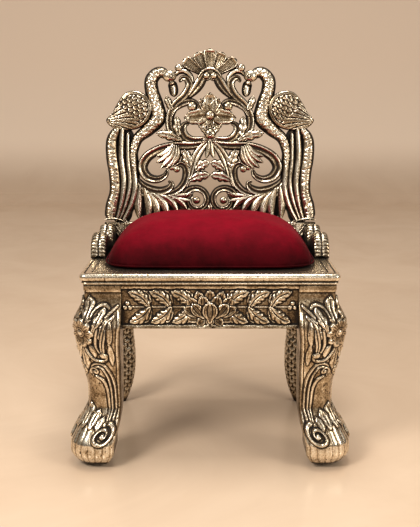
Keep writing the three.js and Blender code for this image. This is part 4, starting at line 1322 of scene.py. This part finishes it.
def studio():
    """A pale floor that curves up into a faintly glowing wall, four area lamps and a warm sky."""
    scene = bpy.context.scene
    material = bpy.data.materials.new("pale_floor")
    plain = Paint(material)
    veins = plain.noise(1.6, 5, 0.6, 1.2)
    height = plain.height()
    floor = plain.ramp(veins, [(0.3, (0.66, 0.49, 0.35)), (0.7, (0.74, 0.57, 0.42))])
    wall = plain.spread(height, 0.02, 0.5, 0.0, 1.0)
    wall_tone = (0.62, 0.48, 0.35, 1)
    mix = plain.node("ShaderNodeMix", {"Factor": wall, 6: floor, 7: wall_tone}, data_type="RGBA")
    plain.fill(plain.shader, {
        "Base Color": mix.outputs[2],
        "Roughness": plain.spread(height, 0.0, 0.3, 0.22, 0.8),
        "Emission Color": (0.40, 0.31, 0.235, 1),
        "Emission Strength": wall,
    })
    # metres: half the floor's size, the height of the wall, and the curve between them
    reach, wall_top = 14.0, 6.0
    curve_start, curve = 4.6, 1.2
    profile = [(-reach, 0.0)]
    for t in np.linspace(0, math.pi / 2, 17):
        profile.append((curve_start + curve * math.sin(t), curve - curve * math.cos(t)))
    profile.append((5.8, wall_top))
    points = [(x, y, z) for y, z in profile for x in (-reach, reach)]
    faces = [(2 * k, 2 * k + 1, 2 * k + 3, 2 * k + 2) for k in range(len(profile) - 1)]
    mesh = bpy.data.meshes.new("studio_sweep")
    mesh.from_pydata(points, [], faces)
    mesh.shade_smooth()
    mesh.materials.append(material)
    sweep_object = bpy.data.objects.new("studio_sweep", mesh)
    scene.collection.objects.link(sweep_object)

    scene.world = bpy.data.worlds.new("studio")
    sky = Paint(scene.world, "Background", "Generated")
    rise = sky.maths("MULTIPLY_ADD", sky.height(), 0.5, 0.5)
    tone = sky.ramp(rise, [(0.42, (0.10, 0.065, 0.04)), (1.0, (1.0, 0.95, 0.88))])
    sky.fill(sky.shader, {"Color": tone, "Strength": 0.7})

    scene.view_settings.view_transform = "Standard"
    scene.view_settings.exposure = -0.42

    target = np.array([0.0, 0.0, 0.5])
    for name, place_at, size, power, colour in (
        ("key", (-1.8, -2.2, 2.6), (1.0, 0.8), 105, (1.0, 0.95, 0.88)),
        ("fill", (2.3, -1.8, 1.5), (1.0, 1.4), 42, (1.0, 0.92, 0.81)),
        ("top", (0.1, 0.0, 2.9), (1.2, 0.9), 62, (1.0, 0.96, 0.90)),
        ("front", (0.2, -3.2, 1.2), (0.5, 1.2), 9, (1.0, 0.95, 0.88)),
    ):
        light = bpy.data.lights.new(name, "AREA")
        light.shape = "RECTANGLE"
        light.size, light.size_y = size
        light.energy = power
        light.color = colour
        lamp = bpy.data.objects.new(name, light)
        lamp.location = place_at
        direction = target - np.array(place_at)
        yaw = math.atan2(direction[0], direction[1])
        pitch = math.atan2(direction[2], math.hypot(direction[0], direction[1]))
        lamp.rotation_euler = (math.pi / 2 + pitch, 0, -yaw)
        scene.collection.objects.link(lamp)


def camera():
    """The photograph's view: from 2.2 m in front, 0.88 m up, looking 7.7 degrees down."""
    view = bpy.data.cameras.new("view")
    view.sensor_width = 36
    view.lens = 59.36
    view.shift_y = -0.1
    holder = bpy.data.objects.new("view", view)
    holder.location = (0, -2.224 + MIDDLE_Y, 0.881)
    holder.rotation_euler = (math.radians(90 - 7.69), 0, 0)
    bpy.context.scene.collection.objects.link(holder)
    bpy.context.scene.camera = holder


studio()
camera()
